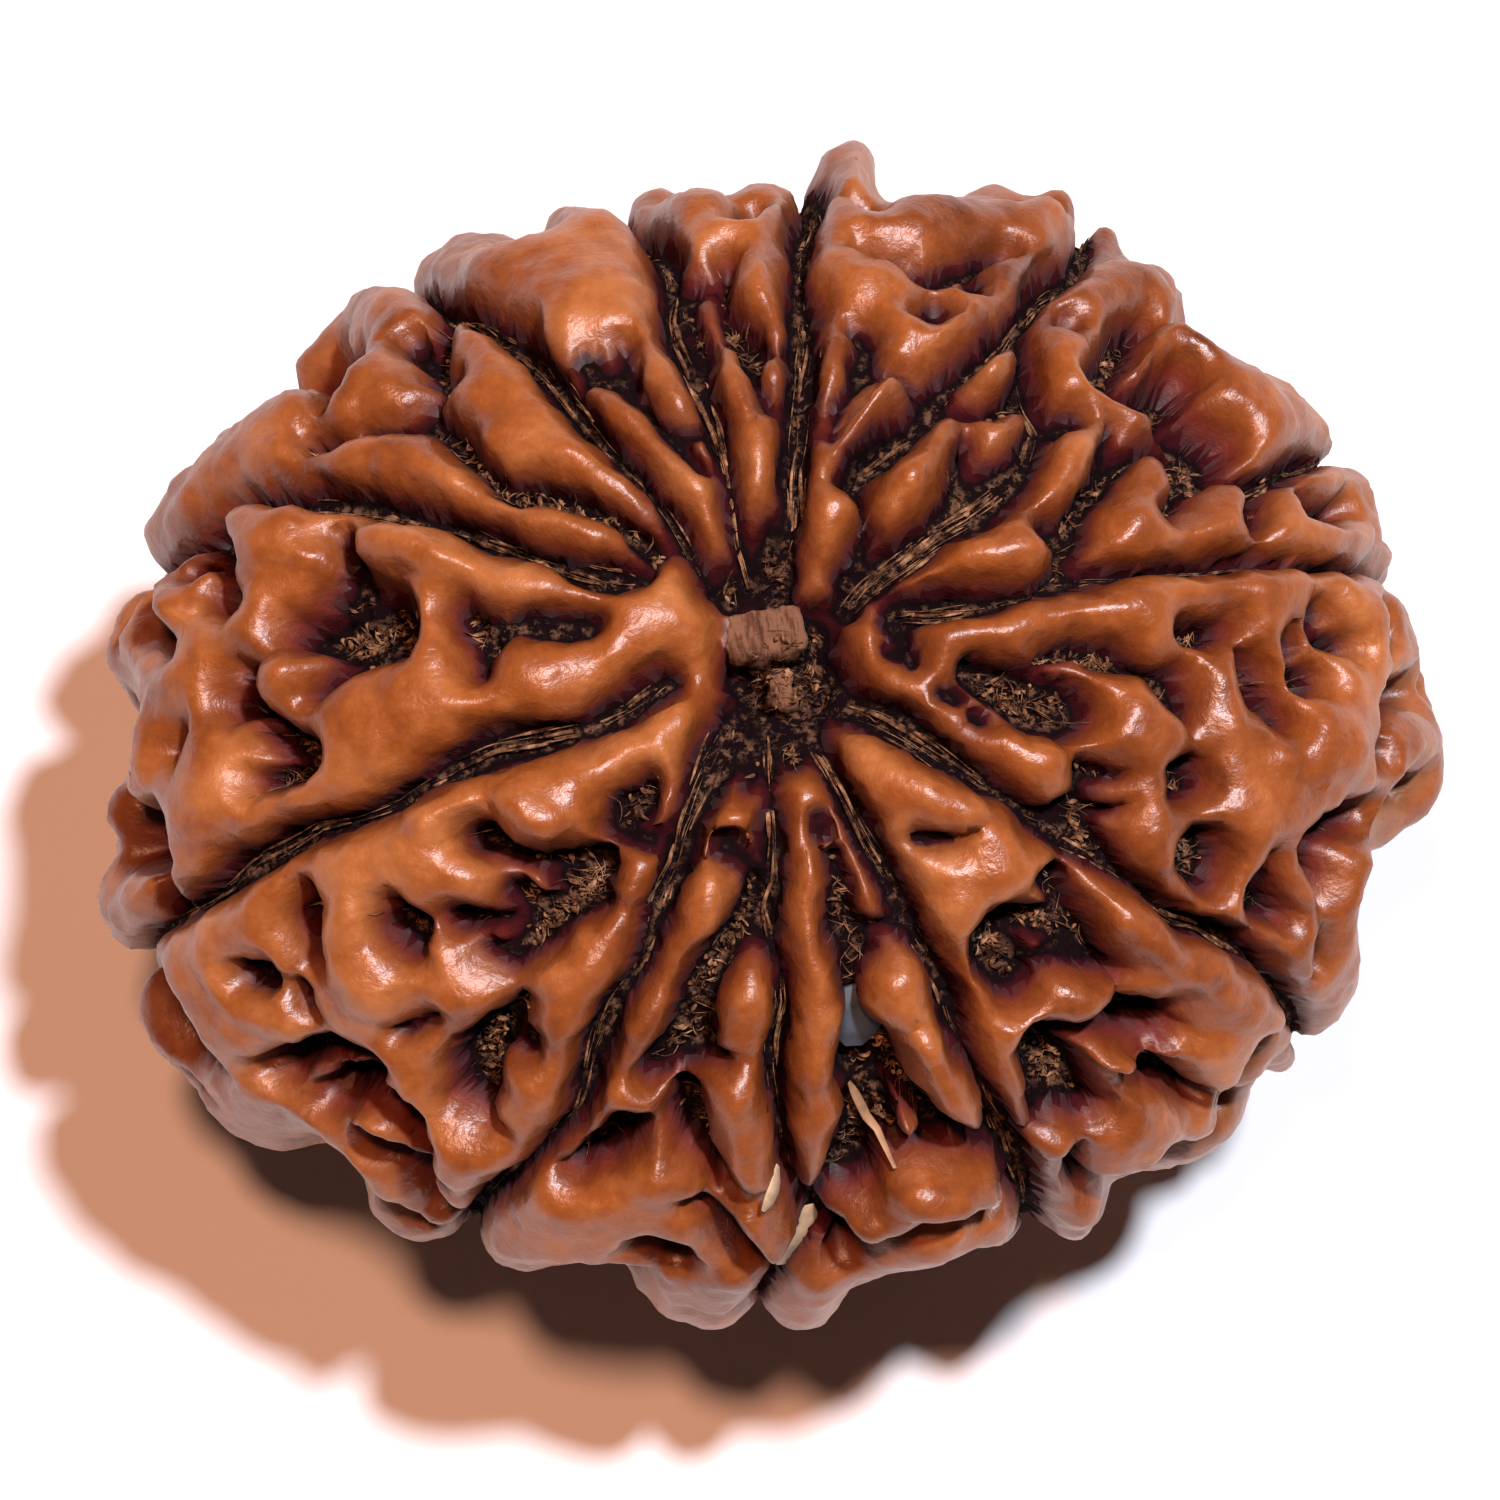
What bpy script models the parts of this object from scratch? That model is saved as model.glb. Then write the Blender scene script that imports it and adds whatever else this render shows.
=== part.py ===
"""Rudraksha bead: a dried seed stone with twelve furrows, standing on a small flat spot.

The bead is one closed body. Its skin is an ellipsoid, dented round the top pole, and all of its
relief is worked into that skin by a formula: twelve furrows that run from pole to pole, the hollows
and pits between them, knobs on its ridges, and the knobs and valleys of its rim. Places are given
as two angles, in degrees east and north of the top pole, so (90, 0) is the right end of the bead's
equator.
"""

import math

import bmesh
import bpy
import numpy as np

# Driving dimensions in metres: the skin's half sizes along X, Y and Z.
HALF_WIDTH = 0.01415
HALF_DEPTH = 0.01220
HALF_HEIGHT = 0.01020
MEAN_RADIUS = 0.0120

# The dent round the top pole, and the flat that the bead stands on.
DENT_DEPTH = 0.0013
DENT_SPREAD = 13.0
FLAT_HEIGHT = 0.01000
FLAT_FADE = (12.0, 17.0)

# The flat spot is three-cornered: how far its corners are from the middle, their directions in
# degrees round from +X, and the step and slope by which the underside rises beside it.
SPOT_REACH = 0.0042
SPOT_CORNERS = (90.0, 210.0, 330.0)
SPOT_STEP = 0.00036
SPOT_SLOPE_LENGTH = 0.00036
SPOT_FLATNESS = 0.00001

# Profile of the relief, in metres.
SHOULDER = 0.00062
DOME_HEIGHT = 0.00045
DOME_SPREAD = 0.0010
FLOOR_SAG = 0.25
HOLLOW_DEEPENING = 1.25
FLOOR_SPREAD = 0.00035
BLEND = 0.00014
DEPTH_BLEND = 0.00035
KNOB_ROUNDNESS = 0.8
REACH = 0.0022

# Share of the mesh kept, and the squares along a side of the cube that it starts as.
GRID = 92
TRIANGLES = 10400

# Between these polar angles the upper relief gives way to the lower one. The rim leans: these angles
# and those of the rim's outline are higher by RIM_LEAN in front, and lower by it behind.
EQUATOR_BLEND = (85.0, 95.0)
RIM_LEAN = 9.0

# Depth of the furrows in metres on the top and at the rim, the polar angles between which it fades,
# and their paths: east, north and half width in degrees.
FURROW_DEPTH = 0.00110
FURROW_RIM_DEPTH = 0.00062
FURROW_FADE = (66.0, 84.0)
FURROWS = {
    "A": ((2.6, 8, 1.0), (4.0, 13, 1.1), (4.6, 18, 1.2), (5.4, 22, 1.5), (6.1, 26, 1.3), (7.0, 31, 1.4),
          (7.8, 36, 1.5), (8.0, 41, 1.2), (8.4, 46, 1.3), (9.8, 53, 1.3), (11.3, 58, 1.5), (12.8, 64, 1.6),
          (14.0, 74, 1.3), (14.6, 90, 1.0), (16.2, 100, 1.0)),
    "B": ((-0.3, 7, 0.7), (-0.9, 12, 0.7), (-1.1, 18, 0.6), (-1.6, 23, 0.6), (-2.4, 28, 0.9),
          (-3.2, 33, 1.2),
          (-4.2, 38, 0.9), (-4.4, 42, 0.9), (-3.9, 46, 1.2), (-3.9, 51, 1.3), (-5.0, 56, 1.3),
          (-7.5, 62, 1.7),
          (-9.3, 70, 1.6), (-11.0, 89, 1.2), (-12.3, 100, 1.2)),
    "C": ((-3.9, 7, 0.8), (-5.0, 10.5, 0.8), (-6.6, 15, 0.8), (-8.6, 19.5, 0.9), (-11.8, 25, 0.9),
          (-14.4, 30.5, 1.0), (-16.6, 36, 1.1), (-19.4, 41.5, 1.2), (-22.8, 46.5, 1.1), (-26.8, 52, 1.2),
          (-29.5, 57, 1.2), (-33, 64, 1.5), (-40, 79, 1.1), (-45.5, 89, 1.1)),
    "D": ((-9.2, 8.8, 0.8), (-11.5, 9.2, 1.5), (-14.2, 10.3, 1.2), (-17.5, 12.1, 1.2), (-21, 14.5, 1.0),
          (-25.5, 18, 1.1), (-30.5, 21.2, 1.1), (-36, 24.8, 1.4), (-41, 27.3, 1.4), (-46, 29.2, 1.3),
          (-51, 30.6, 1.7), (-57, 31.5, 1.8), (-66, 31.8, 1.5), (-80, 37, 1.2), (-90.5, 42.5, 1.2)),
    "E": ((-8.3, -1.6, 0.8), (-12, -4.0, 1.3), (-16, -5.7, 1.4), (-20, -6.1, 1.5), (-25, -6.4, 1.3),
          (-30, -8.1, 1.2), (-35, -10.5, 0.9), (-40, -11.4, 0.8), (-45, -11.3, 0.9), (-50, -13, 1.3),
          (-55, -14, 1.6), (-60, -16, 0.9), (-66, -17.7, 0.9), (-73, -19, 1.2), (-87, -23, 1.1),
          (-97, -25.6, 1.1)),
    "F": ((-3, -6, 1.4), (-4.6, -9.6, 1.9), (-6.9, -13.6, 1.4), (-8.6, -17, 1.0), (-10, -21, 0.8),
          (-12, -25, 1.5), (-13.4, -28.5, 1.1), (-15, -32, 1.0), (-17.8, -35.3, 1.3), (-19.6, -38.5, 1.3),
          (-21.3, -42, 0.8), (-22.7, -45.5, 1.0), (-24.3, -48.7, 0.6), (-27.2, -51.6, 0.5), (-31, -55, 0.5),
          (-36, -59.5, 0.8), (-42, -66, 1.1), (-50, -76, 1.1), (-55, -84, 1.1)),
    "G": ((-0.4, -8, 0.8), (-0.8, -12, 0.6), (-1.0, -16, 0.6), (-1.3, -20, 0.7), (-1.8, -24, 0.9),
          (-3.0, -27, 1.5), (-2.8, -30, 1.0), (-2.1, -34, 0.7), (-2.4, -38, 0.8), (-3.6, -42, 1.0),
          (-4.1, -46, 0.9), (-4.1, -51, 0.8), (-4.0, -56, 0.7), (-3.9, -61, 0.4), (-2.6, -65, 0.9),
          (-1.6, -69, 1.4), (-3.6, -73.5, 0.9), (-6.8, -77.5, 0.6), (-10, -86, 0.7), (-12.5, -100, 0.9)),
    "H": ((3.0, -9, 1.2), (4.4, -13, 0.9), (5.6, -17, 0.8), (6.7, -20.5, 0.9), (8.0, -24, 1.2),
          (9.0, -27.5, 1.3), (10.1, -31, 1.2), (11.6, -35, 1.1), (12.8, -39, 1.0), (13.4, -43, 0.8),
          (15.1, -47.5, 0.6), (16.4, -51, 0.7), (17.6, -55, 0.9), (19.2, -59, 1.2), (20.8, -63, 1.6),
          (22.5, -69, 1.4), (27.5, -85, 1.1), (31, -95, 1.1)),
    "I": ((6.0, -6, 1.6), (9.3, -8.3, 1.8), (12.7, -11.6, 1.7), (16, -15, 1.5), (19, -18, 1.4),
          (22, -20.8, 1.4), (25, -23, 1.4), (28.2, -25.6, 1.0), (31.2, -28.4, 0.9), (34.2, -31.8, 0.8),
          (37, -34.4, 0.8), (41, -36.1, 0.8), (45, -38.8, 1.1), (48.5, -41.6, 1.0), (51.6, -45, 0.6),
          (55, -48, 0.9), (58, -51.2, 1.2), (63, -56, 1.5), (69, -61, 1.2), (75.5, -66, 1.1)),
    "J": ((11.8, 2.3, 1.3), (15, 1.8, 1.5), (19, 1.9, 1.2), (23, 2.4, 1.0), (26.5, 3.5, 1.0),
          (30, 4.2, 0.6),
          (35, 4.4, 0.45), (40, 4.8, 0.5), (44, 5.2, 0.5), (48, 5.9, 0.3), (56, 6.1, 0.3), (61, 6.4, 0.5),
          (66, 7.2, 0.5), (73, 8.6, 0.9), (90, 11, 1.0), (100, 12.2, 1.0)),
    "K": ((7.5, 3.6, 1.2), (9.6, 5.6, 1.5), (13, 7.8, 1.6), (16, 10, 1.6), (19.5, 12.3, 2.0),
          (22.5, 14.5, 2.2),
          (25, 16.8, 1.8), (26.5, 19.5, 1.3), (27.6, 22, 1.0), (27.3, 25, 0.7), (27.5, 29, 0.8),
          (27.8, 33, 1.2)),
    "outer K": ((41.5, 15, 1.2), (45, 16.4, 1.2), (48.5, 15.3, 1.0), (52, 16.2, 1.0), (56, 18.3, 0.9),
                (60, 21, 0.9), (66, 24.5, 1.1), (84, 34, 1.1), (92.7, 37.5, 1.1)),
    "L": ((8.8, 15.6, 0.9), (10.5, 17.4, 1.6), (13, 19.5, 1.7), (16, 22, 1.5), (18, 24.6, 1.5),
          (19.7, 27, 1.2),
          (22.2, 29.4, 1.0), (25, 31.8, 1.4), (27.3, 34, 1.3), (29.1, 37, 1.1), (31.6, 41, 1.1),
          (34.5, 45, 1.0), (37.5, 48, 1.0), (40, 51, 1.3), (42.5, 55, 1.6), (46, 62, 1.5), (53, 74, 1.1),
          (58, 81.5, 1.1)),
}

# Directions, in degrees round from +X, in which the furrows cross the equator.
EQUATOR_FURROWS = (7.0, 22.0, 54.5, 80.8, 97.0, 117.0, 154.8, 194.8, 236.8, 263.0, 288.0, 318.8)

# Hollows and pits: depth in millimetres, then east, north and half width in degrees.
POLE_HOLLOWS = (
    (1.0, (1.4, 0.0, 4.6), (2.2, -4.0, 4.6)),
    (1.9, (-2.4, -2.2, 1.1), (-1.8, -3.5, 0.8)),
    (1.9, (3.6, -3.5, 1.0), (4.0, -5.3, 1.1)),
    (1.5, (4.6, 3.2, 0.5), (5.0, 0.8, 0.6)),
    (0.9, (-2.2, 6.2, 1.2), (-2.4, 8.3, 0.6)),
    (0.8, (1.6, 6.0, 1.5), (1.6, 10.0, 1.2), (1.9, 13.0, 0.6)),
    (0.9, (-2.2, -9.5, 1.0), (-2.2, -12, 0.8), (-2.8, -13.4, 0.4)),
    (0.9, (1.2, -8.5, 1.2), (1.3, -11.6, 0.8)),
    (0.7, (7.8, 6.5, 1.0), (9.2, 8.4, 0.8)),
)
NORTH_HOLLOWS = (
    (0.95, (18.8, 14, 1.1), (19.5, 17, 0.9), (20, 19.5, 0.5)),
    (0.55, (8.2, 20.5, 0.3), (9.2, 24, 0.4), (11, 26.8, 0.4), (12, 28.5, 0.5)),
    (0.9, (9.7, 15.2, 0.6), (10, 12, 0.5), (9.5, 9.5, 0.7)),
    (0.5, (12.0, 28.5, 0.9), (12.8, 32, 0.9), (12.3, 33.5, 0.8)),
    (0.6, (14.3, 27, 0.4), (16, 26.1, 0.5)),
    (0.6, (18.7, 34.7, 0.8), (20.2, 36.6, 0.8)),
    (0.7, (14.8, 45.5, 0.4), (16, 44.3, 0.7), (18.3, 43.6, 1.1), (20.2, 41.3, 0.9), (22, 43, 1.0),
     (25, 45.5, 1.0), (28, 47.4, 1.2), (29.8, 48.3, 0.7)),
    (0.45, (24.5, 39.3, 0.9), (25.4, 42.6, 0.4)),
    (0.5, (15, 58, 0.5), (16.8, 57, 0.8), (16.8, 54, 0.7)),
    (1.0, (20.2, 23.2, 1.0), (22.6, 22.6, 1.2), (25.2, 24.3, 1.0), (27, 27, 0.6)),
    (1.0, (3.0, 32.4, 0.8), (2.2, 35, 1.2), (1.2, 38, 0.8), (0.7, 41, 0.6), (0.9, 44, 0.5), (1.7, 47, 0.5)),
    (0.45, (3.2, 24.6, 0.3), (2.6, 27, 0.4), (2.3, 30, 0.5), (2.8, 32, 0.6)),
    (0.6, (3.7, 53.5, 0.4), (4.8, 56.5, 0.7), (5.5, 59.5, 0.6), (6, 63, 0.4)),
    (0.9, (-1.6, 45, 0.9), (-2.5, 43, 1.2), (-3.3, 41.5, 0.8)),
    (0.8, (-1.9, 31, 0.4), (-1.6, 34, 0.4), (-2.1, 38, 0.4), (-2.5, 41, 0.5)),
    (0.6, (-3.2, 18.5, 0.3), (-4.2, 20.5, 0.5), (-5.3, 23, 0.6), (-6.8, 26, 0.6), (-8.4, 29, 0.6),
     (-9.0, 32.5, 0.8), (-8.8, 35, 0.4)),
    (0.6, (-5.3, 23.4, 0.5), (-3.4, 23.3, 0.4), (-2, 23.6, 0.3)),
    (0.35, (-12.2, 34.2, 1.0), (-11.5, 32, 1.2), (-10, 31, 0.9)),
)
WEST_HOLLOWS = (
    (0.8, (-8.0, 11, 0.9), (-10.3, 14.2, 1.0), (-13.5, 17, 1.2), (-17.5, 19.2, 1.3), (-20.8, 21, 0.8),
     (-23.3, 24.5, 0.7), (-24.9, 28, 0.8), (-26.8, 31, 1.0), (-31, 32.1, 1.0), (-34.5, 33, 0.6)),
    (0.75, (-26.3, 48.5, 1.0), (-26.8, 45, 0.8), (-27, 41, 0.9), (-27, 37.5, 1.0), (-25.3, 35.8, 1.2),
     (-27.5, 34, 0.8), (-28.3, 32, 0.8)),
    (0.6, (-30, 46, 0.6), (-29, 43, 0.7), (-28, 41, 0.5)),
    (1.15, (-39, 39.2, 1.0), (-38.3, 41.7, 1.4), (-39.5, 45, 1.3), (-42, 49, 1.3), (-44, 54, 1.3),
     (-47, 61, 1.6)),
    (0.7, (-37.3, 43, 0.5), (-38, 48, 0.5), (-39, 51, 0.3)),
    (0.8, (-41.5, 35, 0.4), (-40, 33.4, 0.9), (-37.3, 32.3, 0.5)),
    (1.0, (-25.2, 8, 1.0), (-23.6, 5, 2.0), (-24.4, 1.5, 0.9)),
    (0.55, (-22.5, 6, 1.2), (-19, 5.2, 1.5), (-14.5, 4.3, 0.9)),
    (1.25, (-42.8, 10.2, 1.6), (-38, 9.3, 2.6), (-34, 9.5, 3.0), (-32.6, 7.2, 1.9)),
    (0.9, (-36, 13.5, 1.0), (-38.5, 13, 0.8)),
    (0.9, (-35.5, 6, 1.4), (-39, 4.2, 1.2), (-41, 3, 0.9)),
    (0.5, (-36.5, 19.5, 0.4), (-36, 17, 0.5), (-36.3, 14.5, 0.8)),
    (1.15, (-50.3, 16.2, 0.8), (-52.4, 18.8, 1.7), (-51.2, 21.5, 1.2), (-52.3, 24, 1.2), (-54, 27, 1.5),
     (-56, 30.5, 2.0)),
    (0.5, (-58.5, 25, 0.8), (-56.3, 24, 0.6)),
    (1.1, (-51, 4.7, 1.2), (-49, 4.8, 1.4)),
    (0.6, (-49.6, 8, 0.8), (-46.6, 7.3, 0.5)),
    (1.05, (-47.8, 1.5, 0.8), (-45.5, -1, 1.9), (-43.6, -3.1, 2.1), (-46, -4.3, 1.1), (-49, -4.8, 0.7)),
    (0.7, (-60.5, 1.8, 0.9), (-58.8, 3.2, 0.6)),
    (1.1, (-60, 14.5, 0.9), (-63.5, 17.5, 1.3), (-66.5, 21.5, 1.8), (-66, 26, 1.8), (-60, 30, 1.6)),
    (1.4, (-66.8, -8.3, 3.0), (-74, -7, 2.8), (-82, -6, 2.5)),
    (0.8, (-68, -14, 1.2), (-70, -17.5, 1.6)),
)
SOUTH_WEST_HOLLOWS = (
    (0.9, (-11.0, -12.3, 0.8), (-12.8, -14.3, 1.8), (-14, -16, 1.0)),
    (0.35, (-11.6, -17.8, 0.7), (-13.0, -17.2, 0.5)),
    (1.05, (-26.2, -15.6, 1.5), (-24.2, -17.6, 0.7), (-20, -19, 0.6), (-16, -19, 0.7)),
    (0.95, (-16.4, -20.8, 1.3), (-19, -21, 1.9), (-17.5, -23, 1.8), (-20.5, -24, 1.6), (-23, -25.8, 2.0),
     (-25.6, -28, 1.0)),
    (0.9, (-24.4, -21.5, 1.3), (-23.0, -23.8, 1.2)),
    (1.0, (-29.6, -23.2, 1.7), (-26.6, -24.2, 0.8)),
    (0.6, (-28, -27, 0.8), (-26.4, -28.6, 0.6)),
    (1.05, (-36, -20.6, 1.0), (-35.5, -23, 2.2), (-35.4, -25.4, 1.1)),
    (1.05, (-45.4, -18.7, 1.2), (-46.8, -21.6, 1.9), (-47, -25, 1.2)),
    (0.6, (-56, -26.2, 1.0), (-54, -26.8, 1.2)),
    (0.6, (-49.6, -29.2, 0.9), (-49.4, -31.5, 0.9)),
    (0.4, (-39.6, -35, 0.4), (-37, -34.5, 0.3), (-35, -33.7, 0.3)),
    (1.1, (-29.6, -36.5, 1.2), (-31.6, -38.5, 2.0), (-33, -41.6, 2.6), (-34.4, -44.8, 2.0),
     (-33, -47.2, 1.0)),
    (0.8, (-25.6, -32.5, 0.5), (-27.4, -34.8, 0.8), (-29.8, -36.3, 1.2)),
    (0.45, (-26.6, -38.2, 1.0), (-26.0, -37.0, 0.8)),
    (1.1, (-59, -39.5, 1.5), (-53, -37.6, 1.8), (-48.5, -37.2, 1.6), (-45, -38.7, 1.2)),
    (1.25, (-54, -44.6, 1.4), (-50, -42.8, 1.7), (-46.5, -43.2, 2.1), (-43.6, -45.6, 2.1),
     (-43, -48.4, 1.4),
     (-43, -52, 0.6), (-42.6, -56, 0.4)),
    (1.25, (-49, -51.6, 2.1), (-47.6, -55, 2.4), (-46.5, -59, 2.6), (-46, -66, 2.8)),
    (0.9, (-72, -28, 3.5), (-78, -33, 4.5)),
)
SOUTH_HOLLOWS = (
    (0.35, (-5.4, -19.2, 0.6), (-4.6, -20.4, 0.4)),
    (0.3, (-3.7, -21.2, 0.4), (-3.2, -22.2, 0.4)),
    (1.0, (-3.6, -23.6, 0.5), (-4.2, -26.5, 1.1), (-5.6, -29, 1.4), (-7.6, -31.6, 1.7), (-9.5, -34.6, 1.9),
     (-10.4, -38, 2.2), (-11.6, -40.8, 1.8), (-8.6, -41.6, 1.2)),
    (0.8, (-12.6, -41, 1.4), (-15.2, -42.8, 0.6)),
    (1.1, (-12.2, -45.6, 1.0), (-12.6, -49, 1.7), (-12.4, -53, 1.5), (-11.4, -56.4, 0.7),
     (-10.7, -59, 0.4)),
    (1.0, (-14, -60.8, 0.6), (-11.8, -63, 0.8), (-11, -67, 0.9), (-9.5, -71.2, 0.8), (-7.2, -73.6, 0.7)),
    (1.1, (0.4, -68.6, 1.4), (2.0, -72.0, 1.9), (0.6, -75.6, 1.0)),
    (1.05, (-18.4, -49, 1.2), (-19.6, -51.5, 1.5), (-22.6, -53.6, 1.4), (-25.5, -55.4, 1.1)),
    (1.0, (-19.5, -68, 1.9), (-18, -72, 1.2)),
    (1.0, (-26, -74, 2.0), (-33, -78, 2.5)),
    (0.3, (2.8, -17.6, 0.3), (3.0, -19.4, 0.4)),
    (0.9, (3.6, -22, 0.5), (3.9, -25, 0.8), (3.7, -27.6, 1.0), (4.0, -30, 1.4), (5.0, -32.2, 1.7),
     (4.3, -34.2, 0.9), (4.1, -36, 0.6)),
    (0.9, (6.0, -29.8, 0.5), (8.2, -30.2, 0.6)),
    (1.1, (4.0, -37, 0.7), (4.3, -41, 1.1), (4.0, -46, 1.8), (4.6, -50, 1.5), (3.7, -54, 2.0),
     (3.0, -58, 2.1),
     (2.0, -61.8, 2.4), (-0.5, -63, 1.3), (-2.2, -65, 0.8)),
    (1.0, (6.2, -41, 0.8), (6.8, -45, 1.0), (7.4, -48, 0.8), (9.4, -51, 0.6), (11.6, -54, 0.9),
     (14.5, -57, 1.4), (17.5, -59.5, 1.2)),
    (1.0, (5.8, -52, 0.7), (6.2, -55, 0.6), (7.2, -56.9, 0.7), (9.6, -56.5, 1.1), (12, -57.4, 1.0)),
    (0.9, (5, -70.8, 0.6), (8, -69.6, 1.1), (11, -67.6, 1.1), (14, -66.6, 0.8), (18, -68.6, 1.0)),
)
SOUTH_EAST_HOLLOWS = (
    (0.35, (11, -21, 0.7), (14, -21.3, 0.7)),
    (0.9, (24.5, -19.7, 0.6), (27.5, -20.3, 0.7), (30, -20.6, 0.5)),
    (0.6, (20.8, -36, 0.6), (24, -36.2, 0.5), (27, -37.5, 0.4)),
    (1.0, (17.4, -32, 1.4), (18, -35, 2.0), (19.2, -38, 1.5)),
    (1.0, (19.8, -31.4, 1.2), (23.3, -32.4, 1.7), (24.4, -34.8, 1.2)),
    (1.1, (23.2, -27, 0.9), (24.4, -29.5, 0.8), (25.4, -32, 1.0), (26.8, -35, 1.1), (28.5, -37.5, 0.9),
     (29.8, -39, 0.4)),
    (1.3, (29.5, -42.8, 1.2), (31, -44.8, 2.2), (34.8, -46, 2.4), (36.6, -47.4, 1.4)),
    (1.1, (21.8, -45, 1.2), (26, -44.8, 1.0), (29, -44, 1.3)),
    (1.0, (22, -46.6, 1.7), (23.8, -51, 2.7), (26, -54.6, 2.5), (28.4, -57.4, 1.3)),
    (1.15, (33, -51.3, 0.9), (35.5, -52.8, 1.5), (38.5, -55.5, 1.3), (41, -58, 1.0), (44.5, -61, 0.8)),
    (0.6, (22, -53, 0.6), (22.5, -57, 0.7)),
    (0.8, (27.3, -62, 0.8), (28, -67, 0.9), (31, -72, 0.8)),
    (1.0, (34, -72, 0.8), (40, -74, 1.5), (48, -78, 2.0)),
    (0.6, (50.4, -53.5, 1.0), (50, -57, 1.2), (50, -62, 1.4)),
)
EAST_HOLLOWS = (
    (0.55, (11.6, 0.8, 0.9), (12.1, -1.2, 0.7), (12.4, -3.3, 0.8)),
    (0.45, (10.6, -1.9, 0.6), (10.8, -2.1, 0.6)),
    (0.35, (14.6, -6.8, 0.7), (15.5, -7.4, 0.7)),
    (0.45, (17.1, -9.9, 0.8), (17.5, -10.4, 0.8)),
    (1.05, (17.4, -4.8, 1.3), (20, -6.8, 1.9), (23.2, -9.4, 2.3), (25.2, -11.3, 1.1)),
    (0.9, (22, -6.5, 1.0), (25.4, -8.5, 1.2), (26.5, -10.6, 1.1)),
    (0.9, (24, -4.3, 0.5), (27, -3.9, 0.9), (30.5, -4.9, 1.2), (33.6, -6.3, 1.0), (36, -7.7, 1.7),
     (37, -10.5, 1.5), (37.3, -12.3, 0.8)),
    (1.1, (38, -2.3, 1.0), (40.5, -2.6, 1.3), (43, -2, 0.8)),
    (1.1, (44.9, -6, 1.0), (45.9, -9, 1.2), (47.4, -11.4, 0.9), (48.4, -12.7, 0.4)),
    (0.8, (51.6, -7.5, 0.9), (53.7, -8.2, 0.7)),
    (0.6, (50.6, -3.6, 0.8), (50.8, -4.3, 0.8)),
    (0.8, (54.8, -1.2, 1.1), (56.5, 0.3, 0.8)),
    (0.7, (55.5, -2.6, 0.5), (58, -3.4, 0.9), (59.6, -3.8, 0.8)),
    (0.6, (68.2, 0.2, 1.3), (68.6, -1.6, 1.3)),
    (1.15, (65.4, -11.5, 1.3), (67.5, -11, 1.7), (71, -9.5, 1.3), (75, -8.3, 1.1), (82, -7.5, 1.4)),
    (0.4, (63.5, -16.3, 0.7), (66.5, -16.3, 0.8)),
    (0.75, (26.5, -15.9, 0.6), (29, -17, 0.8), (30.4, -17.3, 0.4)),
    (1.0, (26.8, -17.4, 0.7), (26.2, -20, 0.8), (27, -23, 1.0), (28.6, -25.6, 1.0)),
    (1.0, (35.8, -17.3, 1.2), (37.9, -16.6, 1.1)),
    (0.9, (36, -19.3, 1.2), (38.2, -19, 1.0)),
    (1.05, (37.4, -25, 1.2), (39.6, -25.3, 1.2), (39.6, -28, 1.6), (37.4, -27, 1.6)),
    (0.8, (39.6, -28.4, 1.2), (39.9, -30, 0.7)),
    (1.1, (47.4, -28, 0.9), (46.6, -31, 2.1), (48.4, -33.8, 1.9), (51, -36, 1.0)),
    (1.2, (53.4, -26.6, 2.1), (57.5, -25.6, 1.8), (63, -24.4, 1.3)),
    (1.1, (54.8, -29, 1.8), (56, -32, 1.2), (56, -34, 0.8)),
    (0.5, (56.6, -38.6, 0.4), (57.3, -41, 0.4), (58, -43.6, 0.3)),
)
NORTH_EAST_HOLLOWS = (
    (0.7, (32.6, 15.8, 0.5), (33.8, 18.6, 0.7), (34.6, 21, 0.5)),
    (0.95, (26.5, 9, 1.0), (28.5, 8.5, 1.3), (29.6, 11, 1.1), (32, 13.8, 1.0), (34.5, 16.3, 0.9),
     (37, 18.6, 1.0), (40, 19.2, 1.3)),
    (0.9, (27.3, 4.6, 0.6), (27.7, 6.5, 0.7), (28.4, 8.4, 1.1)),
    (0.95, (38.7, 11, 1.0), (40.5, 12.6, 1.1), (41.3, 15, 1.2)),
    (1.25, (38, 26, 1.9), (41, 25.6, 2.1), (44, 28.5, 1.9), (45.8, 30, 1.1)),
    (1.25, (42, 23.4, 1.9), (45.5, 22.5, 2.2), (48, 21.3, 1.8), (46.4, 18.6, 1.8), (43, 18.6, 1.8),
     (41.2, 17, 1.5)),
    (0.9, (34.8, 27, 1.2), (36.5, 29.5, 1.2), (38.3, 32, 1.2), (40.2, 35, 1.0), (42, 37.5, 0.7),
     (44.5, 39.5, 0.5)),
    (0.6, (32.5, 34.4, 0.7), (33.3, 35.5, 0.7)),
    (0.6, (28.5, 21.4, 0.8), (31, 22, 0.8)),
    (0.9, (48.4, 10.4, 1.0), (50, 12.3, 1.1), (51.3, 14.4, 0.7)),
    (1.0, (57.5, 13.4, 1.2), (59.5, 14.5, 1.7), (62.5, 14.8, 1.5), (66, 16, 1.2), (71, 18.5, 0.8)),
    (0.9, (36.5, 60, 0.8), (40, 64, 1.2)),
)

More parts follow.
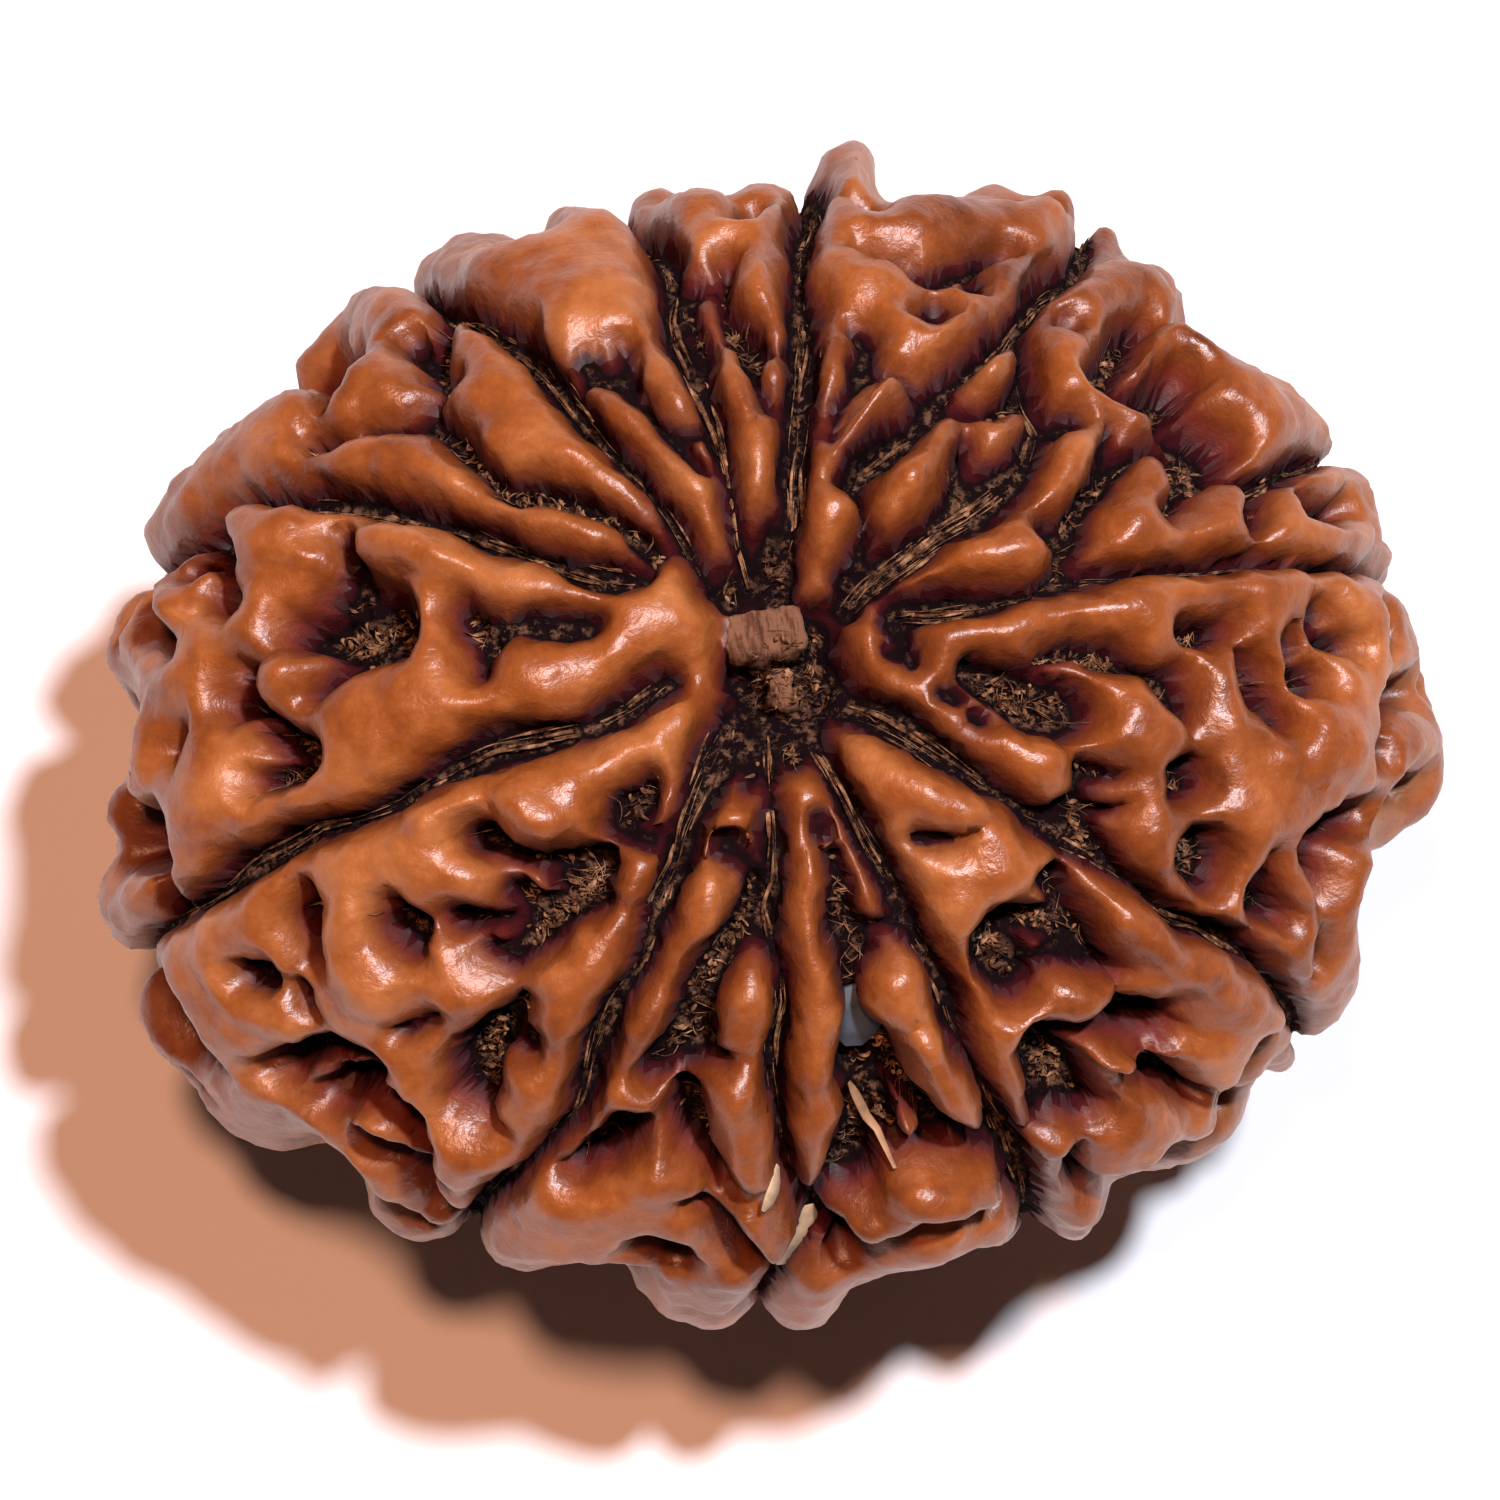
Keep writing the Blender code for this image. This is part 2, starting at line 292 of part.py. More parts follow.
# Deep hollows just inside the rim.
RIM_HOLLOWS = (
    (1.2, (50, 38, 1.0), (56, 43, 2.2), (59, 47, 1.6)),
    (1.1, (66, -34, 1.6), (69, -29, 2.2), (71, -24, 1.2)),
    (0.9, (52, -66, 1.0), (54, -70, 1.3)),
    (1.0, (22.5, 59, 0.8), (23.5, 63, 1.4)),
    (0.9, (-17.5, 60, 0.7), (-18.5, 66, 1.0)),
    (1.0, (-49.5, 46.5, 0.9), (-52, 50, 1.6)),
    (1.1, (-73, 31, 1.6), (-76, 27, 1.4)),
    (1.1, (-82, -2, 2.0), (-84, -7, 1.6)),
    (1.1, (-80, -30, 1.8), (-84, -26, 2.6)),
    (1.1, (-61, -60, 1.4), (-57, -65, 2.2), (-54, -70, 1.4)),
)

# The outline of the rim seen from over the pole: bearing in degrees, and millimetres out from the skin,
# at the top of each knob and the bottom of each valley.
RIM_OUTLINE = (
    (5, -0.20), (12, -0.22), (22, -0.03), (30, -0.55), (38.5, -1.50), (45, -0.12), (50.3, -0.30),
    (53, 0.42), (57, 0.42), (59.5, 0.0), (62, -0.10), (70.5, -0.85), (72.8, -0.70), (75.2, 0.42),
    (78, 0.42), (80.8, -0.30), (83, -0.35), (87.5, -0.78), (93, -0.33), (101.5, -0.22), (104.6, -0.95),
    (112, -0.15), (120.5, 0.03), (125, -0.28), (129, -0.28), (134, -0.95), (140, -0.25), (150, -0.03),
    (157, -0.05), (163, -0.13), (172, -1.30), (181, -0.25), (190, 0.14), (203, 0.36), (211, 0.25),
    (223, -1.00), (228, -0.22), (240, -0.26), (249.5, -1.12), (256, -0.02), (261, 0.20), (267, 0.33),
    (272.5, -0.50), (275, -0.65), (281, -1.20), (286.5, -0.20), (291.5, 0.10), (297, -0.85),
    (306, -0.15), (314, -0.68), (318, 0.20), (325, -0.10), (332, -1.25), (337, -1.25), (348, 0.12),
    (354, -0.10), (365, -0.20),
)
RIM_DROP = 0.30
RIM_POLAR = (62.0, 82.0, 106.0, 130.0)

# Knobs that stand over the ridges: height in millimetres, then east, north and half width in degrees.
RIDGE_KNOBS = (
    (0.35, (-40, -27, 5.6), (-36.5, -23, 6.0)),
    (0.25, (-58, -23, 4.5), (-56, -28, 4.5)),
    (0.35, (-30, -11.5, 3.2), (-27, -12, 2.5)),
    (0.40, (-22, -12.5, 2.6), (-20.5, -14.5, 2.2)),
    (0.30, (-49, 25, 3.0), (-43, 21, 4.0), (-39.5, 18, 2.4)),
    (0.40, (-33.5, 17, 2.2), (-28.5, 15.5, 2.8), (-25, 12, 2.0)),
    (0.35, (-57.5, 17.5, 2.2), (-61, 23, 2.2)),
    (0.35, (-44.8, 5.6, 2.0), (-43.5, 5.4, 1.8)),
    (0.25, (-7.6, -42, 2.0), (-7.5, -50, 2.6), (-7.5, -57, 2.4)),
    (0.40, (-9, -62, 2.0), (-7, -68, 2.5)),
    (0.35, (3, -66.5, 1.7), (3.5, -69, 1.5)),
    (0.35, (8, -61, 2.3), (17, -65.5, 1.3)),
    (0.35, (7.2, -52.3, 1.1), (7.8, -53.5, 1.1)),
    (0.35, (10, -42, 1.6), (12.5, -48, 2.0), (15, -54.5, 1.3)),
    (0.30, (27, -29, 1.6), (35, -36, 2.8), (44, -43, 3.8), (51, -48, 2.2)),
    (0.35, (28, -48.5, 1.2), (36, -50.5, 1.5)),
    (0.45, (8.6, 17.6, 1.3), (14, 24.8, 1.6)),
    (0.35, (11.3, 10.5, 1.5), (14.5, 15, 1.9), (18.5, 20, 1.5)),
    (0.40, (23, 26, 1.3), (25.6, 28.8, 1.5)),
    (0.30, (19, 30, 1.2), (23.5, 34, 1.6)),
    (0.30, (10, -13.5, 2.0), (14, -18.5, 2.6)),
    (0.25, (48, -14, 4.5), (54, -15, 5.0)),
)

# Pits of the sides that face away from above, placed by rule between the furrows.
SIDE_SEED = 12
SIDE_PIT_EVERY = 13.0
SIDE_POLAR = (76.0, 92.0)
SIDE_HALF_WIDTH = (0.9, 2.1)
SIDE_HALF_LENGTH = (1.5, 5.0)
SIDE_PIT_DEPTH = (0.7, 1.2)

# The dried stalk stub and a crumb of it that fill the middle of the top:
# east, north, two half sizes in degrees, and millimetres below the skin.
STUBS = (
    (0.5, 2.2, 3.5, 2.7, 0.45),
    (1.1, -3.4, 1.3, 2.2, 0.85),
)

SKIN_COLOUR = (0.376, 0.091, 0.021, 1.0)


def unit_vectors(places):
    """Directions from the bead's middle for an array of (east, north) angles."""
    polar = np.radians(np.hypot(places[:, 0], places[:, 1]))
    round_about = np.arctan2(places[:, 1], places[:, 0])
    return np.stack((np.sin(polar) * np.cos(round_about), np.sin(polar) * np.sin(round_about),
                     np.cos(polar)), axis=1)


def side_pits():
    """Pits near the equator, a few in each gap between two furrows."""
    rng = np.random.RandomState(SIDE_SEED)
    pits = []
    ends = EQUATOR_FURROWS[1:] + (EQUATOR_FURROWS[0] + 360.0,)
    for start, end in zip(EQUATOR_FURROWS, ends):
        count = max(1, round((end - start) / SIDE_PIT_EVERY) - 1)
        for number in range(count):
            turn = math.radians(start + (end - start) * (number + 1 + rng.uniform(-0.15, 0.15)) / (count + 1))
            polar = rng.uniform(*SIDE_POLAR)
            length = rng.uniform(*SIDE_HALF_LENGTH)
            lean = rng.uniform(-0.03, 0.03)
            half = rng.uniform(*SIDE_HALF_WIDTH)
            top = (polar - length, turn - lean)
            foot = (polar + length, turn + lean)
            path = tuple((far * math.cos(angle), far * math.sin(angle), half) for far, angle in (top, foot))
            pits.append((rng.uniform(*SIDE_PIT_DEPTH),) + path)
    return tuple(pits)


def all_cuts():
    """Every furrow, hollow and pit as (depth on the top, depth at the rim, path), in metres."""
    cuts = [(FURROW_DEPTH, FURROW_RIM_DEPTH, path) for path in FURROWS.values()]
    groups = (POLE_HOLLOWS, NORTH_HOLLOWS, WEST_HOLLOWS, SOUTH_WEST_HOLLOWS, SOUTH_HOLLOWS,
              SOUTH_EAST_HOLLOWS, EAST_HOLLOWS, NORTH_EAST_HOLLOWS, RIM_HOLLOWS, side_pits())
    for group in groups:
        for hollow in group:
            depth = 0.001 * HOLLOW_DEEPENING * hollow[0]
            cuts.append((depth, depth, hollow[1:]))
    return cuts


def gap_to_path(directions, path, reach):
    """Distance in metres from each direction to the edge of a tapering path, and which are near it."""
    places = np.array(path)
    stretch = np.radians(np.hypot(places[:, 0], places[:, 1])) + 1e-6
    half = np.radians(places[:, 2]) * (0.5 + 0.5 * np.sin(stretch) / stretch)
    knots = unit_vectors(places)
    middle = knots.mean(axis=0)
    around = np.linalg.norm(knots - middle, axis=1).max() + half.max() + reach
    close = np.nonzero(((directions - middle) ** 2).sum(axis=1) < around ** 2)[0]
    gap = np.full(len(close), 1.0)
    for start, end, wide, narrow in zip(knots[:-1], knots[1:], half[:-1], half[1:]):
        run = end - start
        offset = directions[close] - start
        along = np.clip(offset @ run / (run @ run), 0.0, 1.0)
        distance = np.linalg.norm(offset - along[:, None] * run, axis=1) - (wide + along * (narrow - wide))
        gap = np.minimum(gap, distance)
    near = gap < reach
    return close[near], gap[near] * MEAN_RADIUS


def smooth_step(value, low, high):
    """0 below low, 1 above high, smooth between."""
    share = np.clip((value - low) / (high - low), 0.0, 1.0)
    return share * share * (3.0 - 2.0 * share)


def knob_rise(directions):
    """How far the knobs lift the surface."""
    rise = np.zeros(len(directions))
    for knob in RIDGE_KNOBS:
        inside, gap = gap_to_path(directions, knob[1:], 0.0)
        half = MEAN_RADIUS * math.radians(np.mean([spot[2] for spot in knob[1:]]))
        share = np.clip(-gap / half, 0.0, 1.0)
        swell = 0.001 * knob[0] * (1.0 - (1.0 - share) ** 2) ** KNOB_ROUNDNESS
        rise[inside] = np.maximum(rise[inside], swell)
    return rise


def height_over_skin(directions):
    """Height in metres of the relief over the skin, negative where it is cut in."""
    closeness = np.zeros(len(directions))
    weight = np.zeros(len(directions))
    weighted_depth = np.zeros(len(directions))
    rim_share = smooth_step(np.degrees(np.arccos(np.clip(directions[:, 2], -1.0, 1.0))), *FURROW_FADE)
    for top_depth, rim_depth, path in all_cuts():
        near, gap = gap_to_path(directions, path, REACH / MEAN_RADIUS)
        closeness[near] += np.exp(-gap / BLEND)
        share = np.exp(-gap / DEPTH_BLEND)
        weight[near] += share
        weighted_depth[near] += (top_depth + (rim_depth - top_depth) * rim_share[near]) * share
    touched = closeness > 0.0
    gap = np.full(len(directions), REACH)
    gap[touched] = np.minimum(-BLEND * np.log(closeness[touched]), REACH)
    depth = np.zeros(len(directions))
    depth[touched] = weighted_depth[touched] / weight[touched]
    rise = np.clip(gap / SHOULDER, 0.0, 1.0)
    cut = depth * (1.0 - np.sqrt(1.0 - (1.0 - rise) ** 2))
    inside = np.minimum(gap, 0.0)
    cut += depth * FLOOR_SAG * (1.0 - np.exp(inside / FLOOR_SPREAD))
    dome = DOME_HEIGHT * (1.0 - np.exp(-np.maximum(gap, 0.0) / DOME_SPREAD))
    return dome + knob_rise(directions) - cut


def rim_rise(directions, level):
    """How far the rim's knobs stand out and its valleys sink, smooth from one to the next."""
    bearings, rises = np.array(RIM_OUTLINE).T
    turn = (np.degrees(np.arctan2(directions[:, 1], directions[:, 0])) - bearings[0]) % 360.0 + bearings[0]
    start = np.clip(np.searchsorted(bearings, turn, side="right") - 1, 0, len(bearings) - 2)
    share = smooth_step((turn - bearings[start]) / (bearings[start + 1] - bearings[start]), 0.0, 1.0)
    rise = rises[start] + share * (rises[start + 1] - rises[start]) - RIM_DROP
    return 0.001 * rise * smooth_step(level, *RIM_POLAR[:2]) * (1.0 - smooth_step(level, *RIM_POLAR[2:]))


def turned_under(directions):
    """The directions of the lower half, brought to the upper half's relief.

    The underside repeats the top as if the bead were rolled over its long axis, with the angles
    stretched so that each furrow of one half meets a furrow of the other at the equator.
    """
    crossings = np.array(EQUATOR_FURROWS)
    partners = np.concatenate((crossings[1::-1], crossings[:1:-1] - 360.0))
    turn = np.degrees(np.arctan2(directions[:, 1], directions[:, 0]))
    turn = (turn - crossings[0]) % 360.0 + crossings[0]
    matched = np.interp(turn, np.append(crossings, crossings[0] + 360.0),
                        np.append(partners, partners[0] - 360.0))
    level = np.hypot(directions[:, 0], directions[:, 1])
    matched = np.radians(matched)
    return np.stack((level * np.cos(matched), level * np.sin(matched), -directions[:, 2]), axis=1)


def relief(directions):
    """Height over the skin all round the bead: two halves, the stub, and the spot it stands on."""
    polar = np.degrees(np.arccos(np.clip(directions[:, 2], -1.0, 1.0)))
    level = polar + RIM_LEAN * directions[:, 1] / (np.hypot(directions[:, 0], directions[:, 1]) + 1e-9)
    lower_share = smooth_step(level, *EQUATOR_BLEND)
    height = np.zeros(len(directions))
    upper = np.nonzero(lower_share < 1.0)[0]
    lower = np.nonzero(lower_share > 0.0)[0]
    height[upper] += (1.0 - lower_share[upper]) * height_over_skin(directions[upper])
    height[lower] += lower_share[lower] * height_over_skin(turned_under(directions[lower]))
    height += rim_rise(directions, level)
    east = np.degrees(directions[:, 0])
    north = np.degrees(directions[:, 1])
    for place_east, place_north, half_east, half_north, below in STUBS:
        off = (((east - place_east) / half_east) ** 4 + ((north - place_north) / half_north) ** 4) ** 0.25
        off[directions[:, 2] < 0.0] = 9.0
        share = 1.0 - smooth_step(off, 0.85, 1.15)
        height = height * (1.0 - share) - 0.001 * below * share
    rest_share = 1.0 - smooth_step(180.0 - polar, *FLAT_FADE)
    return height * (1.0 - rest_share)


def bead_points(directions):
    """Points of the bead's surface, centred over the flat that it stands on."""
    polar = np.degrees(np.arccos(np.clip(directions[:, 2], -1.0, 1.0)))
    halves = np.array((HALF_WIDTH, HALF_DEPTH, HALF_HEIGHT))
    points = directions * halves
    outward = directions / halves
    outward /= np.linalg.norm(outward, axis=1)[:, None]
    points[:, 2] -= DENT_DEPTH * np.exp(-(polar / DENT_SPREAD) ** 2)
    points += outward * relief(directions)[:, None]
    points[:, :2] -= 0.5 * (points[:, :2].min(axis=0) + points[:, :2].max(axis=0))
    points[:, 2] += FLAT_HEIGHT
    press_rest_spot(points)
    return points


def press_rest_spot(points):
    """Flattens the three-cornered spot under the bead, and lifts what lies beside it clear."""
    outward = np.radians(np.array(SPOT_CORNERS) + 180.0)
    away = [points[:, 0] * math.cos(turn) + points[:, 1] * math.sin(turn) for turn in outward]
    beyond = np.max(away, axis=0)
    rise = 1.0 - np.exp(-np.maximum(beyond - 0.5 * SPOT_REACH, 0.0) / SPOT_SLOPE_LENGTH)
    level = SPOT_STEP * rise
    pressed = rise * np.maximum(points[:, 2], level) + (1.0 - rise) * level
    under = points[:, 2] < FLAT_HEIGHT
    points[under, 2] = pressed[under]


def square_up_rest_spot(mesh):
    """Sets a vertex on each corner of the rest spot, and its other vertices exactly in its plane."""
    places = np.empty(3 * len(mesh.vertices))
    mesh.vertices.foreach_get("co", places)
    places = places.reshape(-1, 3)
    places[places[:, 2] < SPOT_FLATNESS, 2] = 0.0
    for turn in np.radians(SPOT_CORNERS):
        corner = np.array((SPOT_REACH * math.cos(turn), SPOT_REACH * math.sin(turn), 0.0))
        places[np.argmin(((places - corner) ** 2).sum(axis=1))] = corner
    mesh.vertices.foreach_set("co", places.ravel())


def cube_sphere(squares):
    """A cube primitive with an even grid on each side, blown up to the unit sphere."""
    grid = bmesh.new()
    bmesh.ops.create_cube(grid, size=2.0)
    bmesh.ops.subdivide_edges(grid, edges=grid.edges[:], cuts=squares - 1, use_grid_fill=True)
    mesh = bpy.data.meshes.new("bead")
    grid.to_mesh(mesh)
    grid.free()
    corners = np.empty(3 * len(mesh.vertices))
    mesh.vertices.foreach_get("co", corners)
    directions = np.tan(corners.reshape(-1, 3) * math.pi / 4.0)
    return mesh, directions / np.linalg.norm(directions, axis=1)[:, None]


def skin_material():
    """Polished orange-brown seed skin."""
    material = bpy.data.materials.new("seed_skin")
    material.use_nodes = True
    shader = material.node_tree.nodes["Principled BSDF"]
    shader.inputs["Base Color"].default_value = SKIN_COLOUR
    shader.inputs["Roughness"].default_value = 0.35
    shader.inputs["Metallic"].default_value = 0.0
    return material


def make_bead(collection):
    """The whole bead as one object."""
    mesh, directions = cube_sphere(GRID)
    mesh.vertices.foreach_set("co", bead_points(directions).ravel())
    mesh.materials.append(skin_material())
    mesh.shade_smooth()
    bead = bpy.data.objects.new("bead", mesh)
    collection.objects.link(bead)
    thinner = bead.modifiers.new("thinner", "DECIMATE")
    thinner.decimate_type = "COLLAPSE"
    thinner.ratio = TRIANGLES / (2 * len(mesh.polygons))
    evaluated = bead.evaluated_get(bpy.context.evaluated_depsgraph_get())
    bead.data = bpy.data.meshes.new_from_object(evaluated)
    bead.modifiers.clear()
    square_up_rest_spot(bead.data)
    return bead


for old in list(bpy.data.objects):
    bpy.data.objects.remove(old, do_unlink=True)
rudraksha = bpy.data.collections.new("rudraksha_bead")
bpy.context.scene.collection.children.link(rudraksha)
make_bead(rudraksha)
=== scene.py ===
import math

import bmesh
import bpy
import numpy as np
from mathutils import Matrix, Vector


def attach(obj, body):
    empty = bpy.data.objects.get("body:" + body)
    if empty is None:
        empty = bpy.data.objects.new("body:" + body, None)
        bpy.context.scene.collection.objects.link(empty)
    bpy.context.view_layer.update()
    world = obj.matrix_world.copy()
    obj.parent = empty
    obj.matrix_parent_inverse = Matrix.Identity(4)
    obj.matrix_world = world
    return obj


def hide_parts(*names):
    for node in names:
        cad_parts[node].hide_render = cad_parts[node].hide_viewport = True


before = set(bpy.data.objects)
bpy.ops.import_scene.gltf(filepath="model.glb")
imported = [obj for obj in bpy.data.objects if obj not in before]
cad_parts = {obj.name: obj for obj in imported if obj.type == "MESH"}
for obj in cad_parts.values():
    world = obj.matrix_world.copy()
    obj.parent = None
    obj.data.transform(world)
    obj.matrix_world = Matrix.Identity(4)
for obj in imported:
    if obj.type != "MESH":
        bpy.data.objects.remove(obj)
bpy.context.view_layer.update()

# The seed stone. It is the hard kernel of a fruit, flattened from pole to pole, with twelve furrows
# that mark its chambers and hollows and pits between them. Its ridges are rubbed smooth and glossy.
# Lengths are in metres. Places are degrees east and north of the top pole.
SKIN_HALVES = np.array((0.01415, 0.01220, 0.01020))
MEAN_RADIUS = 0.0120
DENT_DEPTH = 0.0013
DENT_SPREAD = 13.0
FLAT_HEIGHT = 0.01000
FLAT_FADE = (12.0, 17.0)
SHOULDER = 0.00062
DOME_HEIGHT = 0.00045
DOME_SPREAD = 0.0010
FLOOR_SAG = 0.25
HOLLOW_DEEPENING = 1.25
FLOOR_SPREAD = 0.00035
BLEND = 0.00014
DEPTH_BLEND = 0.00035
KNOB_ROUNDNESS = 0.8
REACH = 0.0022
EQUATOR_BLEND = (85.0, 95.0)
RIM_LEAN = 9.0
SQUARES = 256
MOST_TRIANGLES = 196000

# Furrows: east, north and half width in degrees along each path.
FURROW_DEPTH = 0.00110
FURROW_RIM_DEPTH = 0.00062
FURROW_FADE = (66.0, 84.0)
FURROWS = {
    "A": ((2.6, 8, 1.0), (4.0, 13, 1.1), (4.6, 18, 1.2), (5.4, 22, 1.5), (6.1, 26, 1.3), (7.0, 31, 1.4),
          (7.8, 36, 1.5), (8.0, 41, 1.2), (8.4, 46, 1.3), (9.8, 53, 1.3), (11.3, 58, 1.5),
          (12.8, 64, 1.6), (14.0, 74, 1.3), (14.6, 90, 1.0), (16.2, 100, 1.0)),
    "B": ((-0.3, 7, 0.7), (-0.9, 12, 0.7), (-1.1, 18, 0.6), (-1.6, 23, 0.6), (-2.4, 28, 0.9),
          (-3.2, 33, 1.2), (-4.2, 38, 0.9), (-4.4, 42, 0.9), (-3.9, 46, 1.2), (-3.9, 51, 1.3),
          (-5.0, 56, 1.3), (-7.5, 62, 1.7), (-9.3, 70, 1.6), (-11.0, 89, 1.2), (-12.3, 100, 1.2)),
    "C": ((-3.9, 7, 0.8), (-5.0, 10.5, 0.8), (-6.6, 15, 0.8), (-8.6, 19.5, 0.9), (-11.8, 25, 0.9),
          (-14.4, 30.5, 1.0), (-16.6, 36, 1.1), (-19.4, 41.5, 1.2), (-22.8, 46.5, 1.1),
          (-26.8, 52, 1.2), (-29.5, 57, 1.2), (-33, 64, 1.5), (-40, 79, 1.1), (-45.5, 89, 1.1)),
    "D": ((-9.2, 8.8, 0.8), (-11.5, 9.2, 1.5), (-14.2, 10.3, 1.2), (-17.5, 12.1, 1.2), (-21, 14.5, 1.0),
          (-25.5, 18, 1.1), (-30.5, 21.2, 1.1), (-36, 24.8, 1.4), (-41, 27.3, 1.4), (-46, 29.2, 1.3),
          (-51, 30.6, 1.7), (-57, 31.5, 1.8), (-66, 31.8, 1.5), (-80, 37, 1.2), (-90.5, 42.5, 1.2)),
    "E": ((-8.6, -1.8, 1.2), (-12, -4.0, 1.3), (-16, -5.7, 1.4), (-20, -6.1, 1.5), (-25, -6.4, 1.3),
          (-30, -8.1, 1.2), (-35, -10.5, 0.9), (-40, -11.4, 0.8), (-45, -11.3, 0.9), (-50, -13, 1.3),
          (-55, -14, 1.6), (-60, -16, 0.9), (-66, -17.7, 0.9), (-73, -19, 1.2), (-87, -23, 1.1),
          (-97, -25.6, 1.1)),
    "F": ((-3, -6, 1.4), (-4.6, -9.6, 1.9), (-6.9, -13.6, 1.4), (-8.6, -17, 1.0), (-10, -21, 0.8),
          (-12, -25, 1.5), (-13.4, -28.5, 1.1), (-15, -32, 1.0), (-17.8, -35.3, 1.3),
          (-19.6, -38.5, 1.3), (-21.3, -42, 0.8), (-22.7, -45.5, 1.0), (-24.3, -48.7, 0.6),
          (-27.2, -51.6, 0.5), (-31, -55, 0.5), (-36, -59.5, 0.8), (-42, -66, 1.1), (-50, -76, 1.1),
          (-55, -84, 1.1)),
    "G": ((-0.4, -8, 0.8), (-0.8, -12, 0.6), (-1.0, -16, 0.6), (-1.3, -20, 0.7), (-1.8, -24, 0.9),
          (-3.0, -27, 1.5), (-2.8, -30, 1.0), (-2.1, -34, 0.7), (-2.4, -38, 0.8), (-3.6, -42, 1.0),
          (-4.1, -46, 0.9), (-4.1, -51, 0.8), (-4.0, -56, 0.7), (-3.9, -61, 0.4), (-2.6, -65, 0.9),
          (-1.6, -69, 1.4), (-3.6, -73.5, 0.9), (-6.8, -77.5, 0.6), (-10, -86, 0.7),
          (-12.5, -100, 0.9)),
    "H": ((3.0, -9, 1.2), (4.4, -13, 0.9), (5.6, -17, 0.8), (6.7, -20.5, 0.9), (8.0, -24, 1.2),
          (9.0, -27.5, 1.3), (10.1, -31, 1.2), (11.6, -35, 1.1), (12.8, -39, 1.0), (13.4, -43, 0.8),
          (15.1, -47.5, 0.6), (16.4, -51, 0.7), (17.6, -55, 0.9), (19.2, -59, 1.2), (20.8, -63, 1.6),
          (22.5, -69, 1.4), (27.5, -85, 1.1), (31, -95, 1.1)),
    "I": ((6.0, -6, 1.6), (9.3, -8.3, 1.8), (12.7, -11.6, 1.7), (16, -15, 1.5), (19, -18, 1.4),
          (22, -20.8, 1.4), (25, -23, 1.4), (28.2, -25.6, 1.0), (31.2, -28.4, 0.9), (34.2, -31.8, 0.8),
          (37, -34.4, 0.8), (41, -36.1, 0.8), (45, -38.8, 1.1), (48.5, -41.6, 1.0), (51.6, -45, 0.6),
          (55, -48, 0.9), (58, -51.2, 1.2), (63, -56, 1.5), (69, -61, 1.2), (75.5, -66, 1.1)),
    "J": ((11.8, 2.3, 1.3), (15, 1.8, 1.5), (19, 1.9, 1.2), (23, 2.4, 1.0), (26.5, 3.5, 1.0),
          (30, 4.2, 0.6), (35, 4.4, 0.45), (40, 4.8, 0.5), (44, 5.2, 0.5), (48, 5.9, 0.3),
          (56, 6.1, 0.3), (61, 6.4, 0.5), (66, 7.2, 0.5), (73, 8.6, 0.9), (90, 11, 1.0),
          (100, 12.2, 1.0)),
    "K": ((7.5, 3.6, 1.2), (9.6, 5.6, 1.5), (13, 7.8, 1.6), (16, 10, 1.6), (19.5, 12.3, 2.0),
          (22.5, 14.5, 2.2), (25, 16.8, 1.8), (26.5, 19.5, 1.3), (27.6, 22, 1.0), (27.3, 25, 0.7),
          (27.5, 29, 0.8), (27.8, 33, 1.2)),
    "outer K": ((41.5, 15, 1.2), (45, 16.4, 1.2), (48.5, 15.3, 1.0), (52, 16.2, 1.0), (56, 18.3, 0.9),
                (60, 21, 0.9), (66, 24.5, 1.1), (84, 34, 1.1), (92.7, 37.5, 1.1)),
    "L": ((8.8, 15.6, 0.9), (10.5, 17.4, 1.6), (13, 19.5, 1.7), (16, 22, 1.5), (18, 24.6, 1.5),
          (19.7, 27, 1.2), (22.2, 29.4, 1.0), (25, 31.8, 1.4), (27.3, 34, 1.3), (29.1, 37, 1.1),
          (31.6, 41, 1.1), (34.5, 45, 1.0), (37.5, 48, 1.0), (40, 51, 1.3), (42.5, 55, 1.6),
          (46, 62, 1.5), (53, 74, 1.1), (58, 81.5, 1.1)),
}

# Directions, in degrees round from +X, in which the furrows cross the equator.
EQUATOR_FURROWS = (7.0, 22.0, 54.5, 80.8, 97.0, 117.0, 154.8, 194.8, 236.8, 263.0, 288.0, 318.8)

# Hollows and pits: depth in millimetres, then east, north and half width in degrees.
POLE_HOLLOWS = (
    (1.0, (1.4, 0.0, 4.6), (2.2, -4.0, 4.6)),
    (1.9, (-2.4, -2.2, 1.1), (-1.8, -3.5, 0.8)),
    (1.9, (3.6, -3.5, 1.0), (4.0, -5.3, 1.1)),
    (1.5, (4.6, 3.2, 0.5), (5.0, 0.8, 0.6)),
    (0.9, (-2.2, 6.2, 1.2), (-2.4, 8.3, 0.6)),
    (0.8, (1.6, 6.0, 1.5), (1.6, 10.0, 1.2), (1.9, 13.0, 0.6)),
    (0.9, (-2.2, -9.5, 1.0), (-2.2, -12, 0.8), (-2.8, -13.4, 0.4)),
    (0.9, (1.2, -8.5, 1.2), (1.3, -11.6, 0.8)),
    (0.7, (7.8, 6.5, 1.0), (9.2, 8.4, 0.8)),
)
